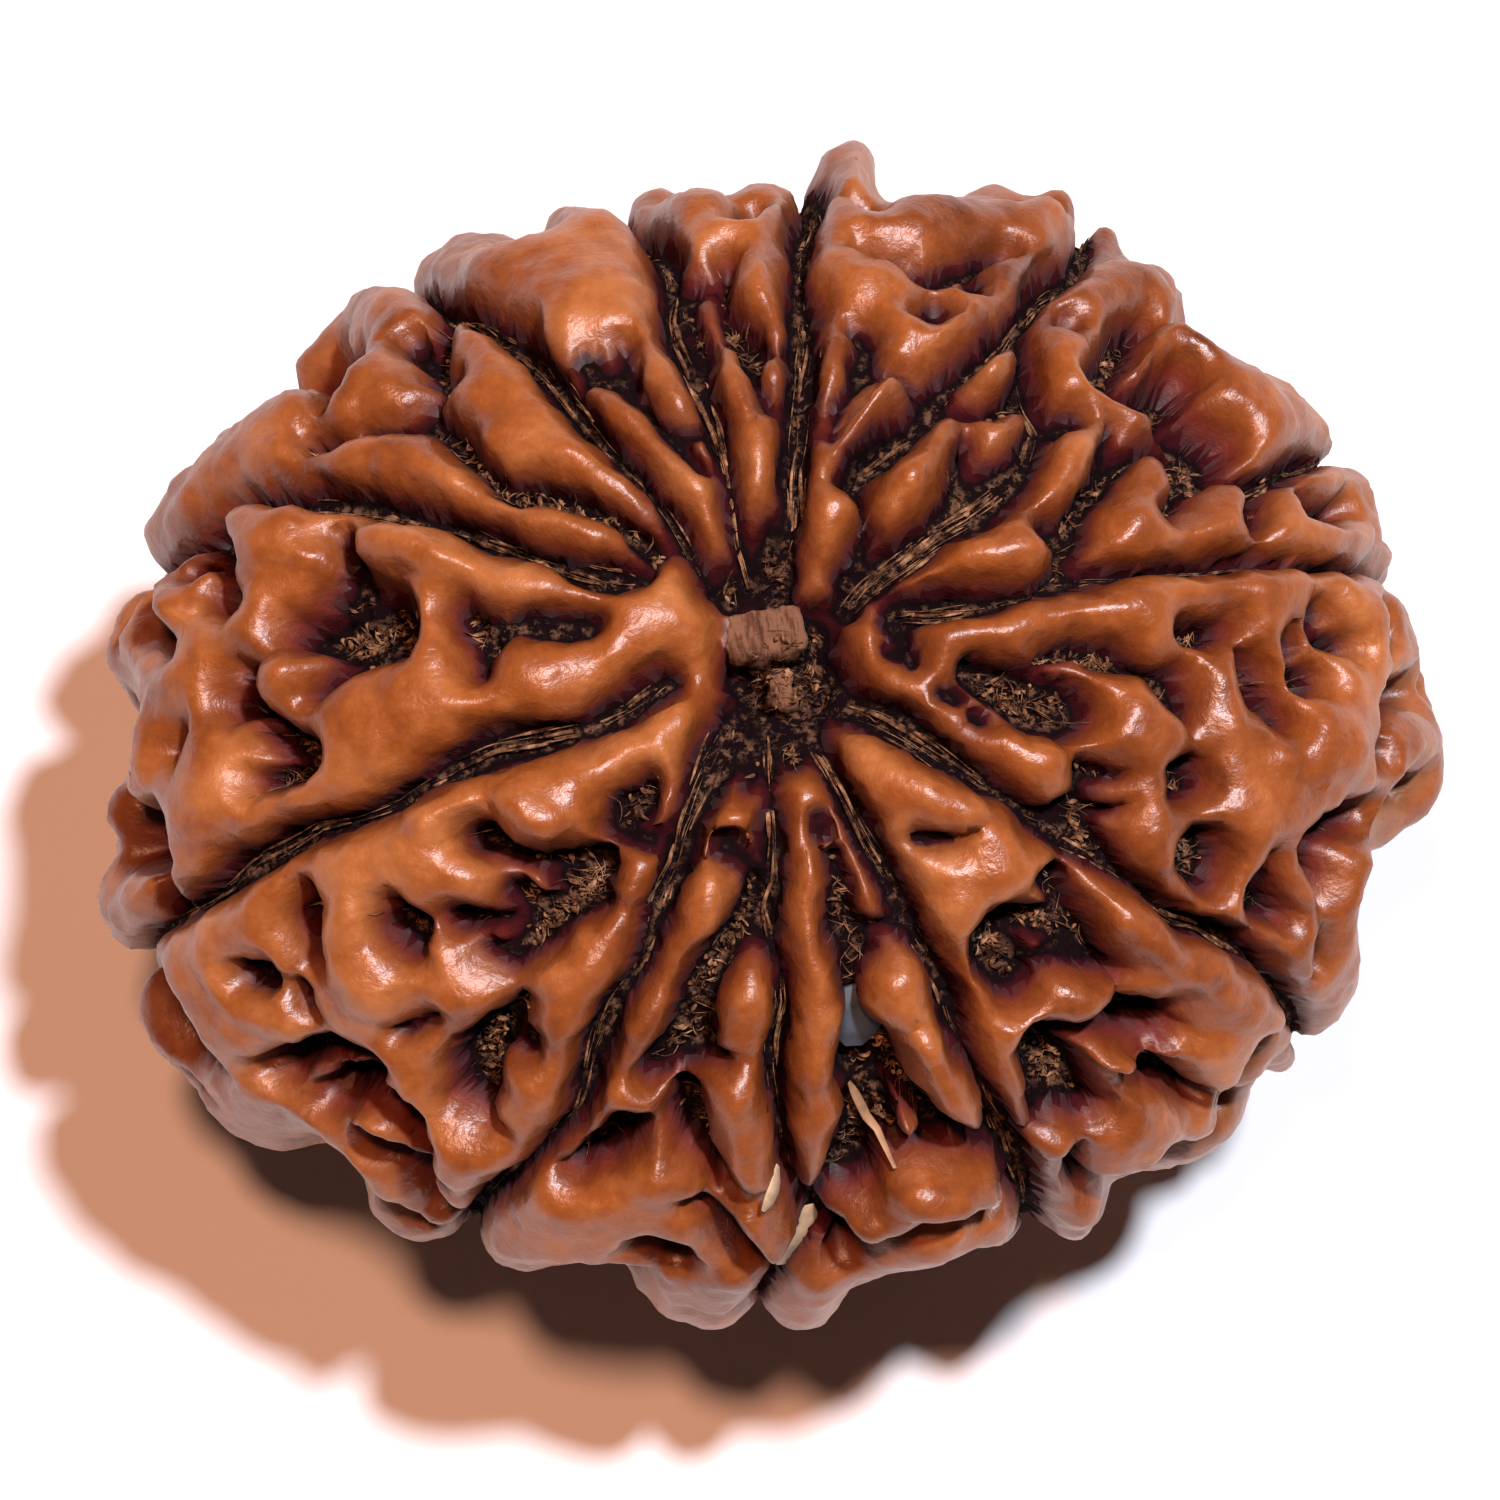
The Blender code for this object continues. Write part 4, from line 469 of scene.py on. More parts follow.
def turned_under(directions):
    """The matching directions on the other half, which repeats the relief rolled over the long axis."""
    crossings = np.array(EQUATOR_FURROWS)
    partners = np.concatenate((crossings[1::-1], crossings[:1:-1] - 360.0))
    turn = np.degrees(np.arctan2(directions[:, 1], directions[:, 0]))
    turn = (turn - crossings[0]) % 360.0 + crossings[0]
    matched = np.radians(np.interp(turn, np.append(crossings, crossings[0] + 360.0),
                                   np.append(partners, partners[0] - 360.0)))
    level = np.hypot(directions[:, 0], directions[:, 1])
    return np.stack((level * np.cos(matched), level * np.sin(matched), -directions[:, 2]), axis=1)


# The dried stalk stub and its crumb: east, north, two half sizes in degrees, millimetres below the skin.
STUBS = (
    (0.5, 2.2, 3.5, 2.7, 0.45),
    (1.1, -3.4, 1.3, 2.2, 0.85),
)


def relief(directions):
    """Height, gap and cut all round the bead, and how much of the stalk stub is there."""
    polar = np.degrees(np.arccos(np.clip(directions[:, 2], -1.0, 1.0)))
    level = polar + RIM_LEAN * directions[:, 1] / (np.hypot(directions[:, 0], directions[:, 1]) + 1e-9)
    lower_share = smooth_step(level, *EQUATOR_BLEND)
    found = np.zeros((len(directions), 3))
    upper = np.nonzero(lower_share < 1.0)[0]
    lower = np.nonzero(lower_share > 0.0)[0]
    found[upper] += (1.0 - lower_share[upper])[:, None] * cuts_at(directions[upper])
    found[lower] += lower_share[lower][:, None] * cuts_at(turned_under(directions[lower]))
    found[:, 0] += rim_rise(directions, level)
    east = np.degrees(directions[:, 0])
    north = np.degrees(directions[:, 1])
    stub = np.zeros(len(directions))
    for place_east, place_north, half_east, half_north, below in STUBS:
        off = (((east - place_east) / half_east) ** 4 + ((north - place_north) / half_north) ** 4) ** 0.25
        off[directions[:, 2] < 0.0] = 9.0
        share = 1.0 - smooth_step(off, 0.85, 1.15)
        found[:, 0] = found[:, 0] * (1.0 - share) - 0.001 * below * share
        stub = np.maximum(stub, share)
    rest_share = 1.0 - smooth_step(180.0 - polar, *FLAT_FADE)
    found[:, 0] *= 1.0 - rest_share
    found[:, 2] *= 1.0 - rest_share
    return found, stub


def on_skin(directions, height):
    """Points at a height over the skin, measured from the bead's middle."""
    polar = np.degrees(np.arccos(np.clip(directions[:, 2], -1.0, 1.0)))
    points = directions * SKIN_HALVES
    outward = directions / SKIN_HALVES
    outward /= np.linalg.norm(outward, axis=1)[:, None]
    points[:, 2] -= DENT_DEPTH * np.exp(-(polar / DENT_SPREAD) ** 2)
    points += outward * height[:, None]
    points[:, 2] = np.maximum(points[:, 2], -FLAT_HEIGHT)
    return points


def cube_sphere(name, squares):
    """A cube primitive with an even grid on each side, and its corners as directions."""
    grid = bmesh.new()
    bmesh.ops.create_cube(grid, size=2.0)
    bmesh.ops.subdivide_edges(grid, edges=grid.edges[:], cuts=squares - 1, use_grid_fill=True)
    mesh = bpy.data.meshes.new(name)
    grid.to_mesh(mesh)
    grid.free()
    corners = np.empty(3 * len(mesh.vertices))
    mesh.vertices.foreach_get("co", corners)
    directions = np.tan(corners.reshape(-1, 3) * math.pi / 4.0)
    return mesh, directions / np.linalg.norm(directions, axis=1)[:, None]


def add_values(mesh, name, values):
    """A number for each vertex, which the material reads."""
    mesh.attributes.new(name, "FLOAT", "POINT").data.foreach_set("value", values.astype(np.float32))


def ruffle(thing, name, size, height, group=""):
    """A cloudy swelling of the surface along its normals."""
    clouds = bpy.data.textures.new(name, "CLOUDS")
    clouds.noise_scale = size
    clouds.noise_depth = 2
    swell = thing.modifiers.new(name, "DISPLACE")
    swell.texture = clouds
    swell.texture_coords = "LOCAL"
    swell.strength = height
    swell.mid_level = 0.5
    swell.vertex_group = group


def soften(thing, name, rounds, group=""):
    """A smoothing of the mesh, all over or in one group of its corners."""
    smoothing = thing.modifiers.new(name, "SMOOTH")
    smoothing.factor = 0.5
    smoothing.iterations = rounds
    smoothing.vertex_group = group


def weigh(thing, name, shares, steps):
    """A group of the mesh's corners whose weights follow the shares in even steps."""
    group = thing.vertex_groups.new(name=name)
    for level in range(1, steps + 1):
        group.add(np.nonzero(np.rint(steps * shares) == level)[0].tolist(), level / steps, "REPLACE")


def settle(thing):
    """The same object with its modifiers worked into its mesh."""
    bpy.context.view_layer.update()
    evaluated = thing.evaluated_get(bpy.context.evaluated_depsgraph_get())
    mesh = bpy.data.meshes.new_from_object(evaluated)
    thing.modifiers.clear()
    thing.data = mesh
    mesh.shade_smooth()


# Gaps, in metres from a cut's edge, over which the crests end and the floors begin, and the small
# swellings of the surface: size, height and where.
CREST_GAPS = (0.00012, 0.00045)
FLOOR_GAPS = (-0.00015, 0.00015)
RUFFLES = (
    ("crest_swell", 0.0019, 0.00060, ""),
    ("crest_dimples", 0.0007, 0.00015, ""),
    ("floor_crumbs", 0.00026, 0.00036, "floors"),
)
bead_mesh, bead_directions = cube_sphere("seed_stone", SQUARES)
bead_relief, stub_share = relief(bead_directions)
bead_points = on_skin(bead_directions, bead_relief[:, 0])
low_corner = bead_points.min(axis=0)
high_corner = bead_points.max(axis=0)
middle = -np.array((0.5 * (low_corner[0] + high_corner[0]), 0.5 * (low_corner[1] + high_corner[1]),
                    low_corner[2]))
bead_mesh.vertices.foreach_set("co", (bead_points + middle).ravel())
add_values(bead_mesh, "gap", 1000.0 * bead_relief[:, 1])
add_values(bead_mesh, "cut", 1000.0 * bead_relief[:, 2])
add_values(bead_mesh, "stub", stub_share)
bead = bpy.data.objects.new("seed_stone", bead_mesh)
bpy.context.scene.collection.objects.link(bead)
weigh(bead, "crests", smooth_step(bead_relief[:, 1], *CREST_GAPS), 8)
weigh(bead, "floors", 1.0 - smooth_step(bead_relief[:, 1], *FLOOR_GAPS), 4)
soften(bead, "ease", 2)
soften(bead, "rounding", 14, "crests")
for name, size, height, group in RUFFLES:
    ruffle(bead, name, size, height, group)
thinner = bead.modifiers.new("thinner", "DECIMATE")
thinner.ratio = min(1.0, MOST_TRIANGLES / (2 * len(bead_mesh.polygons)))
settle(bead)
bead_corners = np.empty(3 * len(bead.data.vertices), np.float32)
bead.data.vertices.foreach_get("co", bead_corners)
bead_corners[2::3] = np.maximum(bead_corners[2::3], 0.0)
bead.data.vertices.foreach_set("co", bead_corners)


def colour_ramp(tree, factor, stops):
    """A ramp through (place, colour) stops."""
    made = tree.nodes.new("ShaderNodeValToRGB")
    elements = made.color_ramp.elements
    while len(elements) < len(stops):
        elements.new(0.5)
    for element, (place, colour) in zip(elements, stops):
        element.position = place
        element.color = (*colour, 1.0)
    tree.links.new(factor, made.inputs["Fac"])
    return made.outputs["Color"]


def mixed(tree, factor, first, second, blend="MIX"):
    """Two colours mixed by a factor."""
    made = tree.nodes.new("ShaderNodeMix")
    made.data_type = "RGBA"
    made.blend_type = blend
    for socket, value in ((made.inputs[0], factor), (made.inputs[6], first), (made.inputs[7], second)):
        if isinstance(value, bpy.types.NodeSocket):
            tree.links.new(value, socket)
        elif isinstance(value, tuple):
            socket.default_value = (*value, 1.0)
        else:
            socket.default_value = value
    return made.outputs[2]


def worked(tree, operation, first, second=None, third=None):
    """The result of a sum on one to three numbers."""
    made = tree.nodes.new("ShaderNodeMath")
    made.operation = operation
    for socket, value in zip(made.inputs, (first, second, third)):
        if isinstance(value, bpy.types.NodeSocket):
            tree.links.new(value, socket)
        elif value is not None:
            socket.default_value = value
    return made.outputs[0]


def ranged(tree, value, low, high, first=0.0, last=1.0):
    """A number carried from one range to another, smooth at both ends."""
    made = tree.nodes.new("ShaderNodeMapRange")
    made.interpolation_type = "SMOOTHSTEP"
    tree.links.new(value, made.inputs["Value"])
    for socket, number in zip(made.inputs[1:5], (low, high, first, last)):
        socket.default_value = number
    return made.outputs[0]


def noise(tree, place, scale, detail=3.0, roughness=0.55, distortion=0.0):
    """Noise with its grain given as cycles in a metre."""
    made = tree.nodes.new("ShaderNodeTexNoise")
    tree.links.new(place, made.inputs["Vector"])
    made.inputs["Scale"].default_value = scale
    made.inputs["Detail"].default_value = detail
    made.inputs["Roughness"].default_value = roughness
    made.inputs["Distortion"].default_value = distortion
    return made.outputs["Fac"]


def value_of(tree, name):
    """The number that the mesh holds at each vertex."""
    made = tree.nodes.new("ShaderNodeAttribute")
    made.attribute_name = name
    return made.outputs["Fac"]


def new_material(name):
    """A material, its tree, its shader and its place socket."""
    material = bpy.data.materials.new(name)
    material.use_nodes = True
    tree = material.node_tree
    place = tree.nodes.new("ShaderNodeTexCoord").outputs["Object"]
    return material, tree, tree.nodes["Principled BSDF"], place


SKIN_DARK = (0.120, 0.027, 0.0055)
SKIN_MAIN = (0.310, 0.084, 0.015)
SKIN_LIGHT = (0.500, 0.188, 0.056)
# A paler, pinkish grey that the skin takes lower down on the sides.
SKIN_PALER_LOW = (0.300, 0.150, 0.092)
# Painted shade: dark brown on the flanks of the ridges by the cuts.
SKIN_EDGE_SHADE = (0.095, 0.016, 0.0035)
# Painted shade: darker red deeper in the cuts.
SKIN_RED_SHADE = (0.140, 0.018, 0.011)
# The maroon at the feet of the cut walls and the near-black of the floors are partly the hollows' own dark
# colour and partly painted shade of the deep cuts.
MAROON_AND_SHADE = (0.038, 0.0050, 0.0078)
NEAR_BLACK_AND_SHADE = (0.0060, 0.0024, 0.0034)
FLOOR_TAN = (0.125, 0.068, 0.040)
STUB_LIGHT = (0.205, 0.102, 0.060)
STUB_DARK = (0.105, 0.046, 0.028)

# Bands over which one colour gives way to the next: the gap and the cut in millimetres, the paling
# lower down by its height in metres. The edge, red, maroon and floor bands lay painted shade along and in
# the cuts.
EDGE_SHADE_BAND = (0.42, 0.02)
MAROON_SHADE_BAND = (0.09, -0.01)
FLOOR_BAND = (0.0, -0.08)
CRUMB_BAND = (-0.08, -0.22)
DULLING_BAND = (0.15, 0.0)
RED_SHADE_DEPTHS = (0.30, 0.90)
PALING_HEIGHTS = (0.0150, 0.0085)
EDGE_SHADE_SHARE = 0.62
PALING_SHARE = 0.55
RAGGEDNESS = 0.08
FLOOR_EDGE = 0.06

# Grains in cycles in a metre, and the depth of the skin's and the floors' fine relief in metres.
BROAD_GRAIN = 170.0
MIDDLING_GRAIN = 600.0
WRINKLE_GRAIN = 1150.0
FINE_GRAIN = 2600.0
CRUMB_GRAIN = 4600.0
PORE_GRAIN = 5200.0
STUB_GRAIN = (9000.0, 2200.0, 2200.0)
SKIN_GRAIN_DEPTH = 0.00008
FLOOR_GRAIN_DEPTH = 0.00010


def stone_colour(tree, place):
    """The seed's colour all over, with painted shade in and along the cuts, and the grains and shares that
    its finish needs.
    """
    broad = noise(tree, place, BROAD_GRAIN, 2.0)
    middling = noise(tree, place, MIDDLING_GRAIN, 4.0, 0.6)
    fine = noise(tree, place, FINE_GRAIN, 4.0, 0.65)
    shade = worked(tree, "MULTIPLY", broad, 0.40)
    shade = worked(tree, "ADD", shade, worked(tree, "MULTIPLY", middling, 0.42))
    shade = worked(tree, "ADD", shade, worked(tree, "MULTIPLY", fine, 0.18))
    colour = colour_ramp(tree, shade, ((0.34, SKIN_DARK), (0.50, SKIN_MAIN), (0.66, SKIN_LIGHT)))
    height = tree.nodes.new("ShaderNodeSeparateXYZ")
    tree.links.new(place, height.inputs[0])
    # Paler, pinkish grey in patches lower down on the sides.
    lowness = ranged(tree, height.outputs["Z"], *PALING_HEIGHTS)
    low_paling = worked(tree, "MULTIPLY", lowness, ranged(tree, broad, 0.35, 0.65))
    colour = mixed(tree, worked(tree, "MULTIPLY", low_paling, PALING_SHARE), colour, SKIN_PALER_LOW)
    waver = worked(tree, "MULTIPLY_ADD", fine, RAGGEDNESS, -0.5 * RAGGEDNESS)
    ragged_gap = worked(tree, "ADD", value_of(tree, "gap"), waver)
    # Painted shade: the flanks of the ridges darken towards the cuts.
    colour = mixed(tree, ranged(tree, ragged_gap, *EDGE_SHADE_BAND, 0.0, EDGE_SHADE_SHARE), colour, SKIN_EDGE_SHADE)
    # Painted shade: the skin goes darker red deeper down in the cuts.
    colour = mixed(tree, ranged(tree, value_of(tree, "cut"), *RED_SHADE_DEPTHS), colour, SKIN_RED_SHADE)
    # Painted shade at the feet of the cut walls, in maroon, and on the floors, in near-black between
    # lighter crumbs; both are partly the hollows' own dark colour.
    colour = mixed(tree, ranged(tree, ragged_gap, *MAROON_SHADE_BAND), colour, MAROON_AND_SHADE)
    floor_grain = noise(tree, place, CRUMB_GRAIN, 4.0, 0.7)
    crumbs = worked(tree, "MULTIPLY", ranged(tree, floor_grain, 0.48, 0.64),
                    ranged(tree, ragged_gap, *CRUMB_BAND))
    floor_colour = mixed(tree, crumbs, NEAR_BLACK_AND_SHADE, FLOOR_TAN)
    colour = mixed(tree, ranged(tree, ragged_gap, *FLOOR_BAND), colour, floor_colour)
    threads = tree.nodes.new("ShaderNodeMapping")
    threads.inputs["Scale"].default_value = STUB_GRAIN
    tree.links.new(place, threads.inputs["Vector"])
    thread_shade = ranged(tree, noise(tree, threads.outputs[0], 1.0, 3.0, 0.6), 0.38, 0.56)
    stub_colour = mixed(tree, thread_shade, STUB_DARK, STUB_LIGHT)
    colour = mixed(tree, ranged(tree, value_of(tree, "stub"), 0.4, 0.7), colour, stub_colour)
    return colour, middling, fine, floor_grain, ragged_gap


def roughen(tree, shader, grain, strength, distance):
    """A fine grain in the surface."""
    bump = tree.nodes.new("ShaderNodeBump")
    bump.inputs["Strength"].default_value = strength
    bump.inputs["Distance"].default_value = distance
    tree.links.new(grain, bump.inputs["Height"])
    tree.links.new(bump.outputs["Normal"], shader.inputs["Normal"])


seed_skin, tree, shader, place = new_material("polished_seed_skin")
colour, middling, fine, floor_grain, ragged_gap = stone_colour(tree, place)
tree.links.new(colour, shader.inputs["Base Color"])
roughness = worked(tree, "MULTIPLY_ADD", middling, 0.20, 0.28)
edge_dullness = worked(tree, "MULTIPLY", ranged(tree, ragged_gap, *DULLING_BAND), 0.3)
tree.links.new(worked(tree, "ADD", roughness, edge_dullness), shader.inputs["Roughness"])
pores = noise(tree, place, PORE_GRAIN, 3.0, 0.7)
wrinkles = noise(tree, place, WRINKLE_GRAIN, 3.0, 0.55, 0.8)
grain = worked(tree, "MULTIPLY_ADD", wrinkles, 1.3, worked(tree, "MULTIPLY_ADD", pores, 0.35, fine))
roughen(tree, shader, grain, 0.34, SKIN_GRAIN_DEPTH)
shader.inputs["Specular IOR Level"].default_value = 0.66

dry_floor, tree, shader, place = new_material("dull_pit_floor")
colour, middling, fine, floor_grain, ragged_gap = stone_colour(tree, place)
tree.links.new(colour, shader.inputs["Base Color"])
shader.inputs["Roughness"].default_value = 0.9
shader.inputs["Specular IOR Level"].default_value = 0.06
roughen(tree, shader, floor_grain, 0.6, FLOOR_GRAIN_DEPTH)

bead.data.materials.clear()
bead.data.materials.append(seed_skin)
bead.data.materials.append(dry_floor)
corner_gap = np.empty(len(bead.data.vertices), np.float32)
bead.data.attributes["gap"].data.foreach_get("value", corner_gap)
corner_stub = np.empty(len(bead.data.vertices), np.float32)
bead.data.attributes["stub"].data.foreach_get("value", corner_stub)
dull = np.logical_or(corner_gap < FLOOR_EDGE, corner_stub > 0.5)
for face in bead.data.polygons:
    face.material_index = int(all(dull[corner] for corner in face.vertices))
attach(bead, "root")
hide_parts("bead")


# The fibres in the furrows. Each furrow is the seam of a chamber, and threads of dried fruit flesh
# run along it, frayed and matted, with a thin line of them standing up in its middle.
FIBRE_SEED = 31
FIBRE_POINTS = 7
FIBRE_RADIUS = 0.000010
STRIP_HALF_WIDTH = 0.000026
STRIP_THICKNESS = 0.22

# How the strands lie in a furrow: shares of its half width aside, degrees long, millimetres up.
SEAM_SIDES = (-0.6, 0.1, 0.1)
STRAND_LENGTHS = (1.5, 9.0)
STRAND_LIFT = 0.06
STRAND_BOW = 0.10
STRAND_SIZES = (0.4, 1.6)
STRAND_COUNTS = (("top", True, 34), ("under", False, 22))


def along_path(path, share):
    """Places (east, north, half width) at shares of a path's length."""
    knots = np.array(path)
    steps = np.hypot(np.diff(knots[:, 0]), np.diff(knots[:, 1]))
    travelled = np.concatenate(((0.0,), np.cumsum(steps)))
    wanted = np.clip(share, 0.0, 1.0) * travelled[-1]
    spots = np.stack([np.interp(wanted, travelled, knots[:, axis]) for axis in range(3)], axis=-1)
    return spots, travelled[-1]


def lay_strands(name, places, lifts, radii, upper, flat=False):
    """One curve object of threads or flat strips at the given places, lifted over the relief."""
    directions = unit_vectors(places.reshape(-1, 2))
    if not upper:
        directions = turned_under(directions)
    heights = relief(directions)[0][:, 0] + lifts.ravel()
    points = (on_skin(directions, heights) + middle).reshape(*places.shape[:2], 3)
    points[..., 2] = np.maximum(points[..., 2], 0.0001)
    curve = bpy.data.curves.new(name, "CURVE")
    curve.dimensions = "3D"
    curve.bevel_depth = STRIP_THICKNESS if flat else 1.0
    curve.extrude = 1.0 if flat else 0.0
    curve.bevel_resolution = 0
    curve.use_fill_caps = True
    taper = np.sin(np.linspace(0.12, math.pi - 0.12, places.shape[1])) ** 0.5
    turns = np.random.RandomState(FIBRE_SEED).uniform(0.0, math.pi, len(points))
    for strand, radius, turn in zip(points, radii, turns):
        spline = curve.splines.new("POLY")
        spline.points.add(len(strand) - 1)
        spline.points.foreach_set("co", np.hstack((strand, np.ones((len(strand), 1)))).ravel())
        spline.points.foreach_set("radius", radius * taper)
        spline.points.foreach_set("tilt", turn + np.linspace(0.0, 1.2, len(strand)))
    thing = bpy.data.objects.new(name, curve)
    bpy.context.scene.collection.objects.link(thing)
    return thing


def seam_strands(rng, per_furrow):
    """Strands that follow the furrows: their places, lifts and sizes."""
    places = []
    lifts = []
    bow = np.sin(np.linspace(0.3, math.pi - 0.3, FIBRE_POINTS))
    for path in FURROWS.values():
        total = along_path(path, np.zeros(1))[1]
        for number in range(per_furrow):
            start = rng.uniform(0.0, 0.8) ** 1.3
            span = rng.uniform(*STRAND_LENGTHS) / total
            share = np.linspace(start, min(start + span, 1.0), FIBRE_POINTS)
            spots = along_path(path, share)[0]
            ahead = along_path(path, share + 0.01)[0] - spots
            ahead[-1] = ahead[-2]
            side = np.stack((-ahead[:, 1], ahead[:, 0]), axis=1)
            side /= np.hypot(ahead[:, 0], ahead[:, 1])[:, None] + 1e-9
            aside = rng.choice(SEAM_SIDES) + rng.normal(0.0, 0.15)
            waves = np.linspace(0.0, rng.uniform(0.5, 3.0), FIBRE_POINTS) + rng.uniform(0.0, 6.0)
            sway = aside + 0.15 * np.sin(waves)
            places.append(spots[:, :2] + side * (sway * spots[:, 2])[:, None])
            lift = rng.uniform(0.0, STRAND_LIFT)
            lifts.append(0.001 * (lift + rng.uniform(0.0, STRAND_BOW) * bow))
    return np.array(places), np.array(lifts), rng.uniform(*STRAND_SIZES, len(places))


FIBRE_DARK = (0.018, 0.007, 0.005)
FIBRE_MAIN = (0.160, 0.080, 0.040)
FIBRE_LIGHT = (0.420, 0.240, 0.130)
dry_fibre, tree, shader, place = new_material("dry_fibre")
fibre_shades = ((0.38, FIBRE_DARK), (0.52, FIBRE_MAIN), (0.68, FIBRE_LIGHT))
fibre_grain = noise(tree, place, FINE_GRAIN, 3.0, 0.7)
tree.links.new(colour_ramp(tree, fibre_grain, fibre_shades), shader.inputs["Base Color"])
shader.inputs["Roughness"].default_value = 0.85
shader.inputs["Specular IOR Level"].default_value = 0.10


def finish_fibre(thing):
    """Fibres go with the bead."""
    thing.data.materials.append(dry_fibre)
    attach(thing, "root")


fibre_rng = np.random.RandomState(FIBRE_SEED)
for half, upper, per_furrow in STRAND_COUNTS:
    spots, lifts, sizes = seam_strands(fibre_rng, per_furrow)
    finish_fibre(lay_strands("furrow_strips_" + half, spots, lifts, STRIP_HALF_WIDTH * sizes, upper, True))
    spots, lifts, sizes = seam_strands(fibre_rng, per_furrow // 2)
    finish_fibre(lay_strands("furrow_threads_" + half, spots, lifts, FIBRE_RADIUS * sizes, upper))


# The crumbs and threads in the hollows and pits: torn flakes of dried flesh, matted on the floors
# and lying every way. Shallow hollows and the deep holes beside the stub have none.
PIT_FILLS = (0.25, 0.6, 1.0, 1.3)
FLAKED_DEPTHS = (0.75, 1.8)
FLAKE_POLAR = 74.0
FLAKE_LENGTHS = (0.4, 1.8)
THREAD_LENGTHS = (1.5, 4.0)
FLAKE_LIFT = 0.10
FLAKE_BOW = 0.12
FLAKE_SIZES = (0.5, 1.8)
FLAKE_DENSITIES = (("top", True, 2.4), ("under", False, 1.3))


def pit_strands(rng, density, lengths):
    """Short strands on the floors of the hollows: their places, lifts and sizes."""
    places = []
    lifts = []
    share = np.linspace(-0.5, 0.5, FIBRE_POINTS)
    for hollow in HOLLOWS:
        fill = rng.choice(PIT_FILLS)
        if not FLAKED_DEPTHS[0] <= hollow[0] <= FLAKED_DEPTHS[1]:
            continue
        path = hollow[1:]
        total = along_path(path, np.zeros(1))[1]
        width = np.mean([spot[2] for spot in path])
        middle_share = rng.uniform(0.25, 0.75)
        for number in range(int(fill * density * (total + 1.5 * width) * min(width, 2.5))):
            spot = along_path(path, np.clip(rng.normal(middle_share, 0.22, 1), 0.0, 1.0))[0][0]
            if math.hypot(spot[0], spot[1]) > FLAKE_POLAR:
                continue
            angle = rng.uniform(0.0, math.pi) + rng.uniform(-1.3, 1.3) * share
            length = rng.uniform(*lengths)
            centre = spot[:2] + spot[2] * np.clip(rng.normal(0.0, 0.33, 2), -0.8, 0.8)
            steps = np.stack((np.cos(angle), np.sin(angle)), axis=1) * length / FIBRE_POINTS
            strand = np.cumsum(steps, axis=0)
            places.append(centre + strand - strand.mean(axis=0))
            lift = rng.uniform(0.0, FLAKE_LIFT)
            lifts.append(0.001 * (lift + rng.uniform(0.0, FLAKE_BOW) * np.cos(math.pi * share)))
    return np.array(places), np.array(lifts), rng.uniform(*FLAKE_SIZES, len(places))


for half, upper, density in FLAKE_DENSITIES:
    spots, lifts, sizes = pit_strands(fibre_rng, density, FLAKE_LENGTHS)
    finish_fibre(lay_strands("pit_flakes_" + half, spots, lifts, STRIP_HALF_WIDTH * sizes, upper, True))
    spots, lifts, sizes = pit_strands(fibre_rng, 0.4 * density, THREAD_LENGTHS)
    finish_fibre(lay_strands("pit_threads_" + half, spots, lifts, 0.8 * FIBRE_RADIUS * sizes, upper))


# Broken husk: cream chips and a tan splinter caught in the front furrow, and a grey crumb beside them.
# Each is a flat strip: its colour, its half width in millimetres, its turn about its length in radians,
# its lift in millimetres and its run of places.
CREAM = (0.640, 0.470, 0.290)
SPLINTER_TAN = (0.450, 0.260, 0.140)
CRUMB_GREY = (0.082, 0.108, 0.138)
CHIPS = (
    ("cream_chip", CREAM, 0.27, 0.9, 0.25, ((-2.3, -69.0), (-3.0, -72.0), (-4.7, -75.2), (-6.6, -78.4))),
    ("cream_sliver", CREAM, 0.20, 0.4, 0.20, ((-4.9, -57.4), (-5.6, -58.8), (-6.8, -60.2))),
    ("tan_splinter", SPLINTER_TAN, 0.10, 1.2, 0.22,
     ((3.2, -49.6), (3.9, -52.4), (4.8, -55.4), (6.7, -58.6))),
    ("grey_crumb", CRUMB_GREY, 0.50, 1.45, 0.25, ((4.3, -37.0), (4.6, -39.6), (4.5, -42.2), (4.0, -45.0))),
)


def chip_paint(name, colour):
    """Dry husk of one colour with a faint grain along it."""
    paint, tree, shader, place = new_material(name)
    darker = tuple(0.6 * share for share in colour)
    grain = noise(tree, place, 1800.0, 3.0)
    tree.links.new(colour_ramp(tree, grain, ((0.35, darker), (0.60, colour))), shader.inputs["Base Color"])
    shader.inputs["Roughness"].default_value = 0.6
    return paint


for name, colour, half_width, turn, lift, run in CHIPS:
    share = np.linspace(0.0, 1.0, 2 * len(run) - 1)
    steps = np.linspace(0.0, 1.0, len(run))
    line = np.stack([np.interp(share, steps, [spot[axis] for spot in run]) for axis in (0, 1)], axis=-1)
    lifts = np.full((1, len(line)), 0.001 * lift)
    chip = lay_strands(name, line[None], lifts, (0.001 * half_width,), True, True)
    chip.data.splines[0].points.foreach_set("tilt", np.full(len(line), turn))
    chip.data.materials.append(chip_paint(name + "_husk", colour))
    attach(chip, "root")


# The pale table that the bead lies on, lit by soft lamps: a key from the right and above, a warmer
# one from the left, and an even pale room.
TABLE_DARKER = (0.86, 0.86, 0.87)
TABLE_LIGHTER = (0.89, 0.89, 0.90)

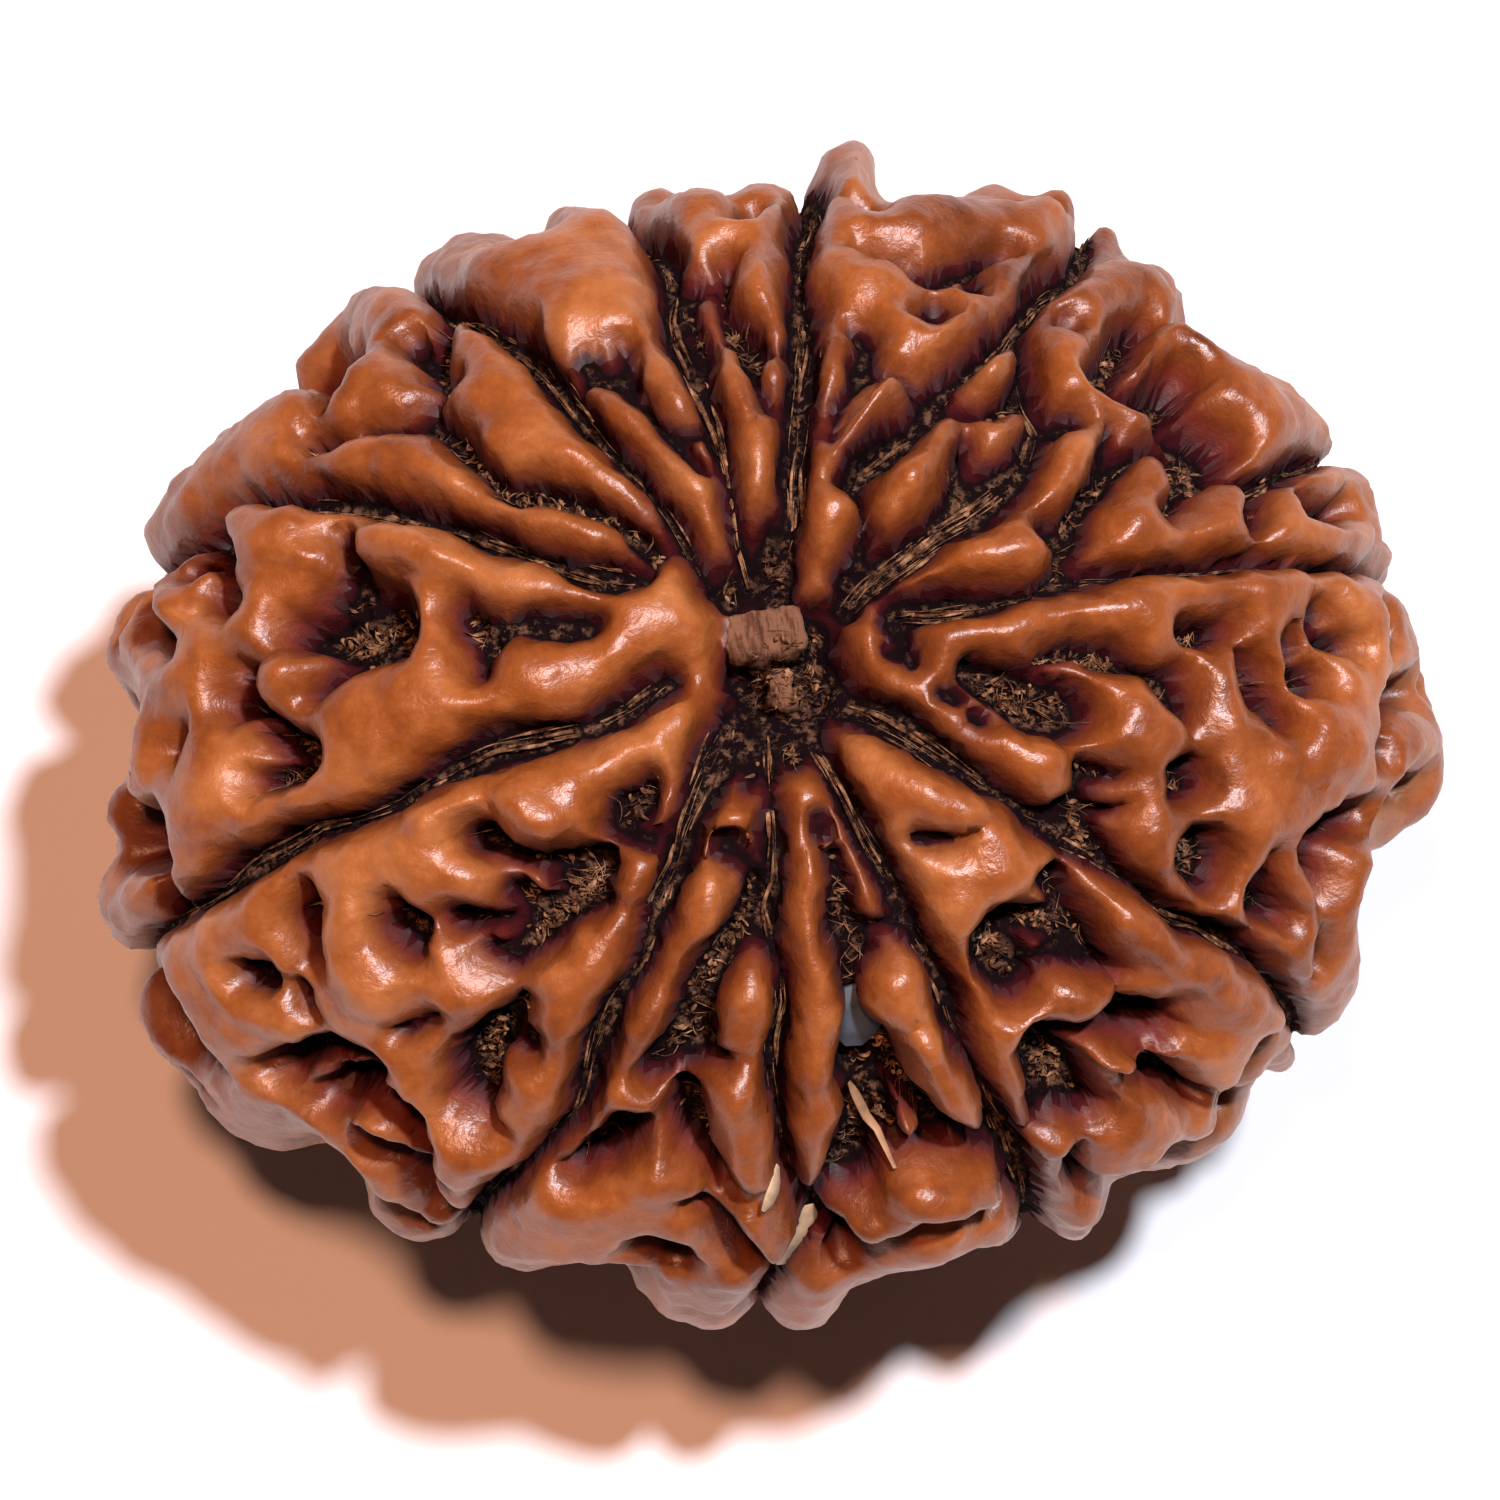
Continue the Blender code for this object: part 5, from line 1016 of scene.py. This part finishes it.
# Lamps: bearing and height in degrees, width in metres, watts and colour.
LAMP_REACH = 0.60
LAMPS = (
    ("key_lamp", 20.0, 75.0, 0.045, 4.3, (0.88, 0.91, 1.0)),
    ("left_lamp", 165.0, 86.0, 0.060, 2.2, (1.0, 0.45, 0.26)),
)
ROOM_COLOUR = (0.95, 0.97, 1.0, 1.0)
ROOM_STRENGTH = 0.014

table_mesh = bpy.data.meshes.new("table")
table_grid = bmesh.new()
bmesh.ops.create_grid(table_grid, x_segments=2, y_segments=2, size=1.5)
table_grid.to_mesh(table_mesh)
table_grid.free()
table = bpy.data.objects.new("table", table_mesh)
bpy.context.scene.collection.objects.link(table)
table_paint, tree, shader, place = new_material("pale_table")
table_shades = ((0.3, TABLE_DARKER), (0.7, TABLE_LIGHTER))
tree.links.new(colour_ramp(tree, noise(tree, place, 40.0), table_shades), shader.inputs["Base Color"])
shader.inputs["Roughness"].default_value = 0.6
table_mesh.materials.append(table_paint)


def heading(bearing, height):
    """The way out to a bearing and an angle above the table, both in radians."""
    return Vector((math.cos(bearing) * math.cos(height), math.sin(bearing) * math.cos(height),
                   math.sin(height)))


def soft_lamp(name, aim, bearing, height, size, power, colour):
    """A round lamp that looks at a point from a bearing and an angle above the table."""
    lamp = bpy.data.lights.new(name, "AREA")
    lamp.shape = "DISK"
    lamp.size = size
    lamp.energy = power
    lamp.color = colour
    thing = bpy.data.objects.new(name, lamp)
    away = heading(math.radians(bearing), math.radians(height))
    thing.location = aim + LAMP_REACH * away
    thing.rotation_euler = away.to_track_quat("Z", "Y").to_euler()
    bpy.context.scene.collection.objects.link(thing)


bead_heart = Vector(middle)
for name, bearing, height, size, power, colour in LAMPS:
    soft_lamp(name, bead_heart, bearing, height, size, power, colour)
room = bpy.data.worlds.new("pale_room")
room.use_nodes = True
room.node_tree.nodes["Background"].inputs["Color"].default_value = ROOM_COLOUR
room.node_tree.nodes["Background"].inputs["Strength"].default_value = ROOM_STRENGTH
bpy.context.scene.world = room
bpy.context.scene.view_settings.view_transform = "Standard"


# The camera looks down on the bead from a little in front, as the photograph does.
VIEW_BEARING = math.radians(-7.4)
VIEW_HEIGHT = math.radians(78.5)
VIEW_REACH = 0.220
PHOTO_SIDE = 1500.0
PIXELS_PER_METRE = 47700.0
BEAD_IN_PHOTO = (763.0, 737.6)
back = Vector((math.sin(VIEW_BEARING) * math.cos(VIEW_HEIGHT),
               -math.cos(VIEW_BEARING) * math.cos(VIEW_HEIGHT), math.sin(VIEW_HEIGHT)))
right = Vector((math.cos(VIEW_BEARING), math.sin(VIEW_BEARING), 0.0))
up = back.cross(right)
camera_data = bpy.data.cameras.new("camera")
camera_data.sensor_width = 36.0
camera_data.lens = 36.0 * VIEW_REACH * PIXELS_PER_METRE / PHOTO_SIDE
camera_data.clip_start = 0.01
camera_data.clip_end = 10.0
camera = bpy.data.objects.new("camera", camera_data)
aside = (0.5 * PHOTO_SIDE - BEAD_IN_PHOTO[0]) / PIXELS_PER_METRE
above = (BEAD_IN_PHOTO[1] - 0.5 * PHOTO_SIDE) / PIXELS_PER_METRE
camera.location = bead_heart + back * VIEW_REACH + right * aside + up * above
camera.rotation_euler = back.to_track_quat("Z", "Y").to_euler()
bpy.context.scene.collection.objects.link(camera)
bpy.context.scene.camera = camera
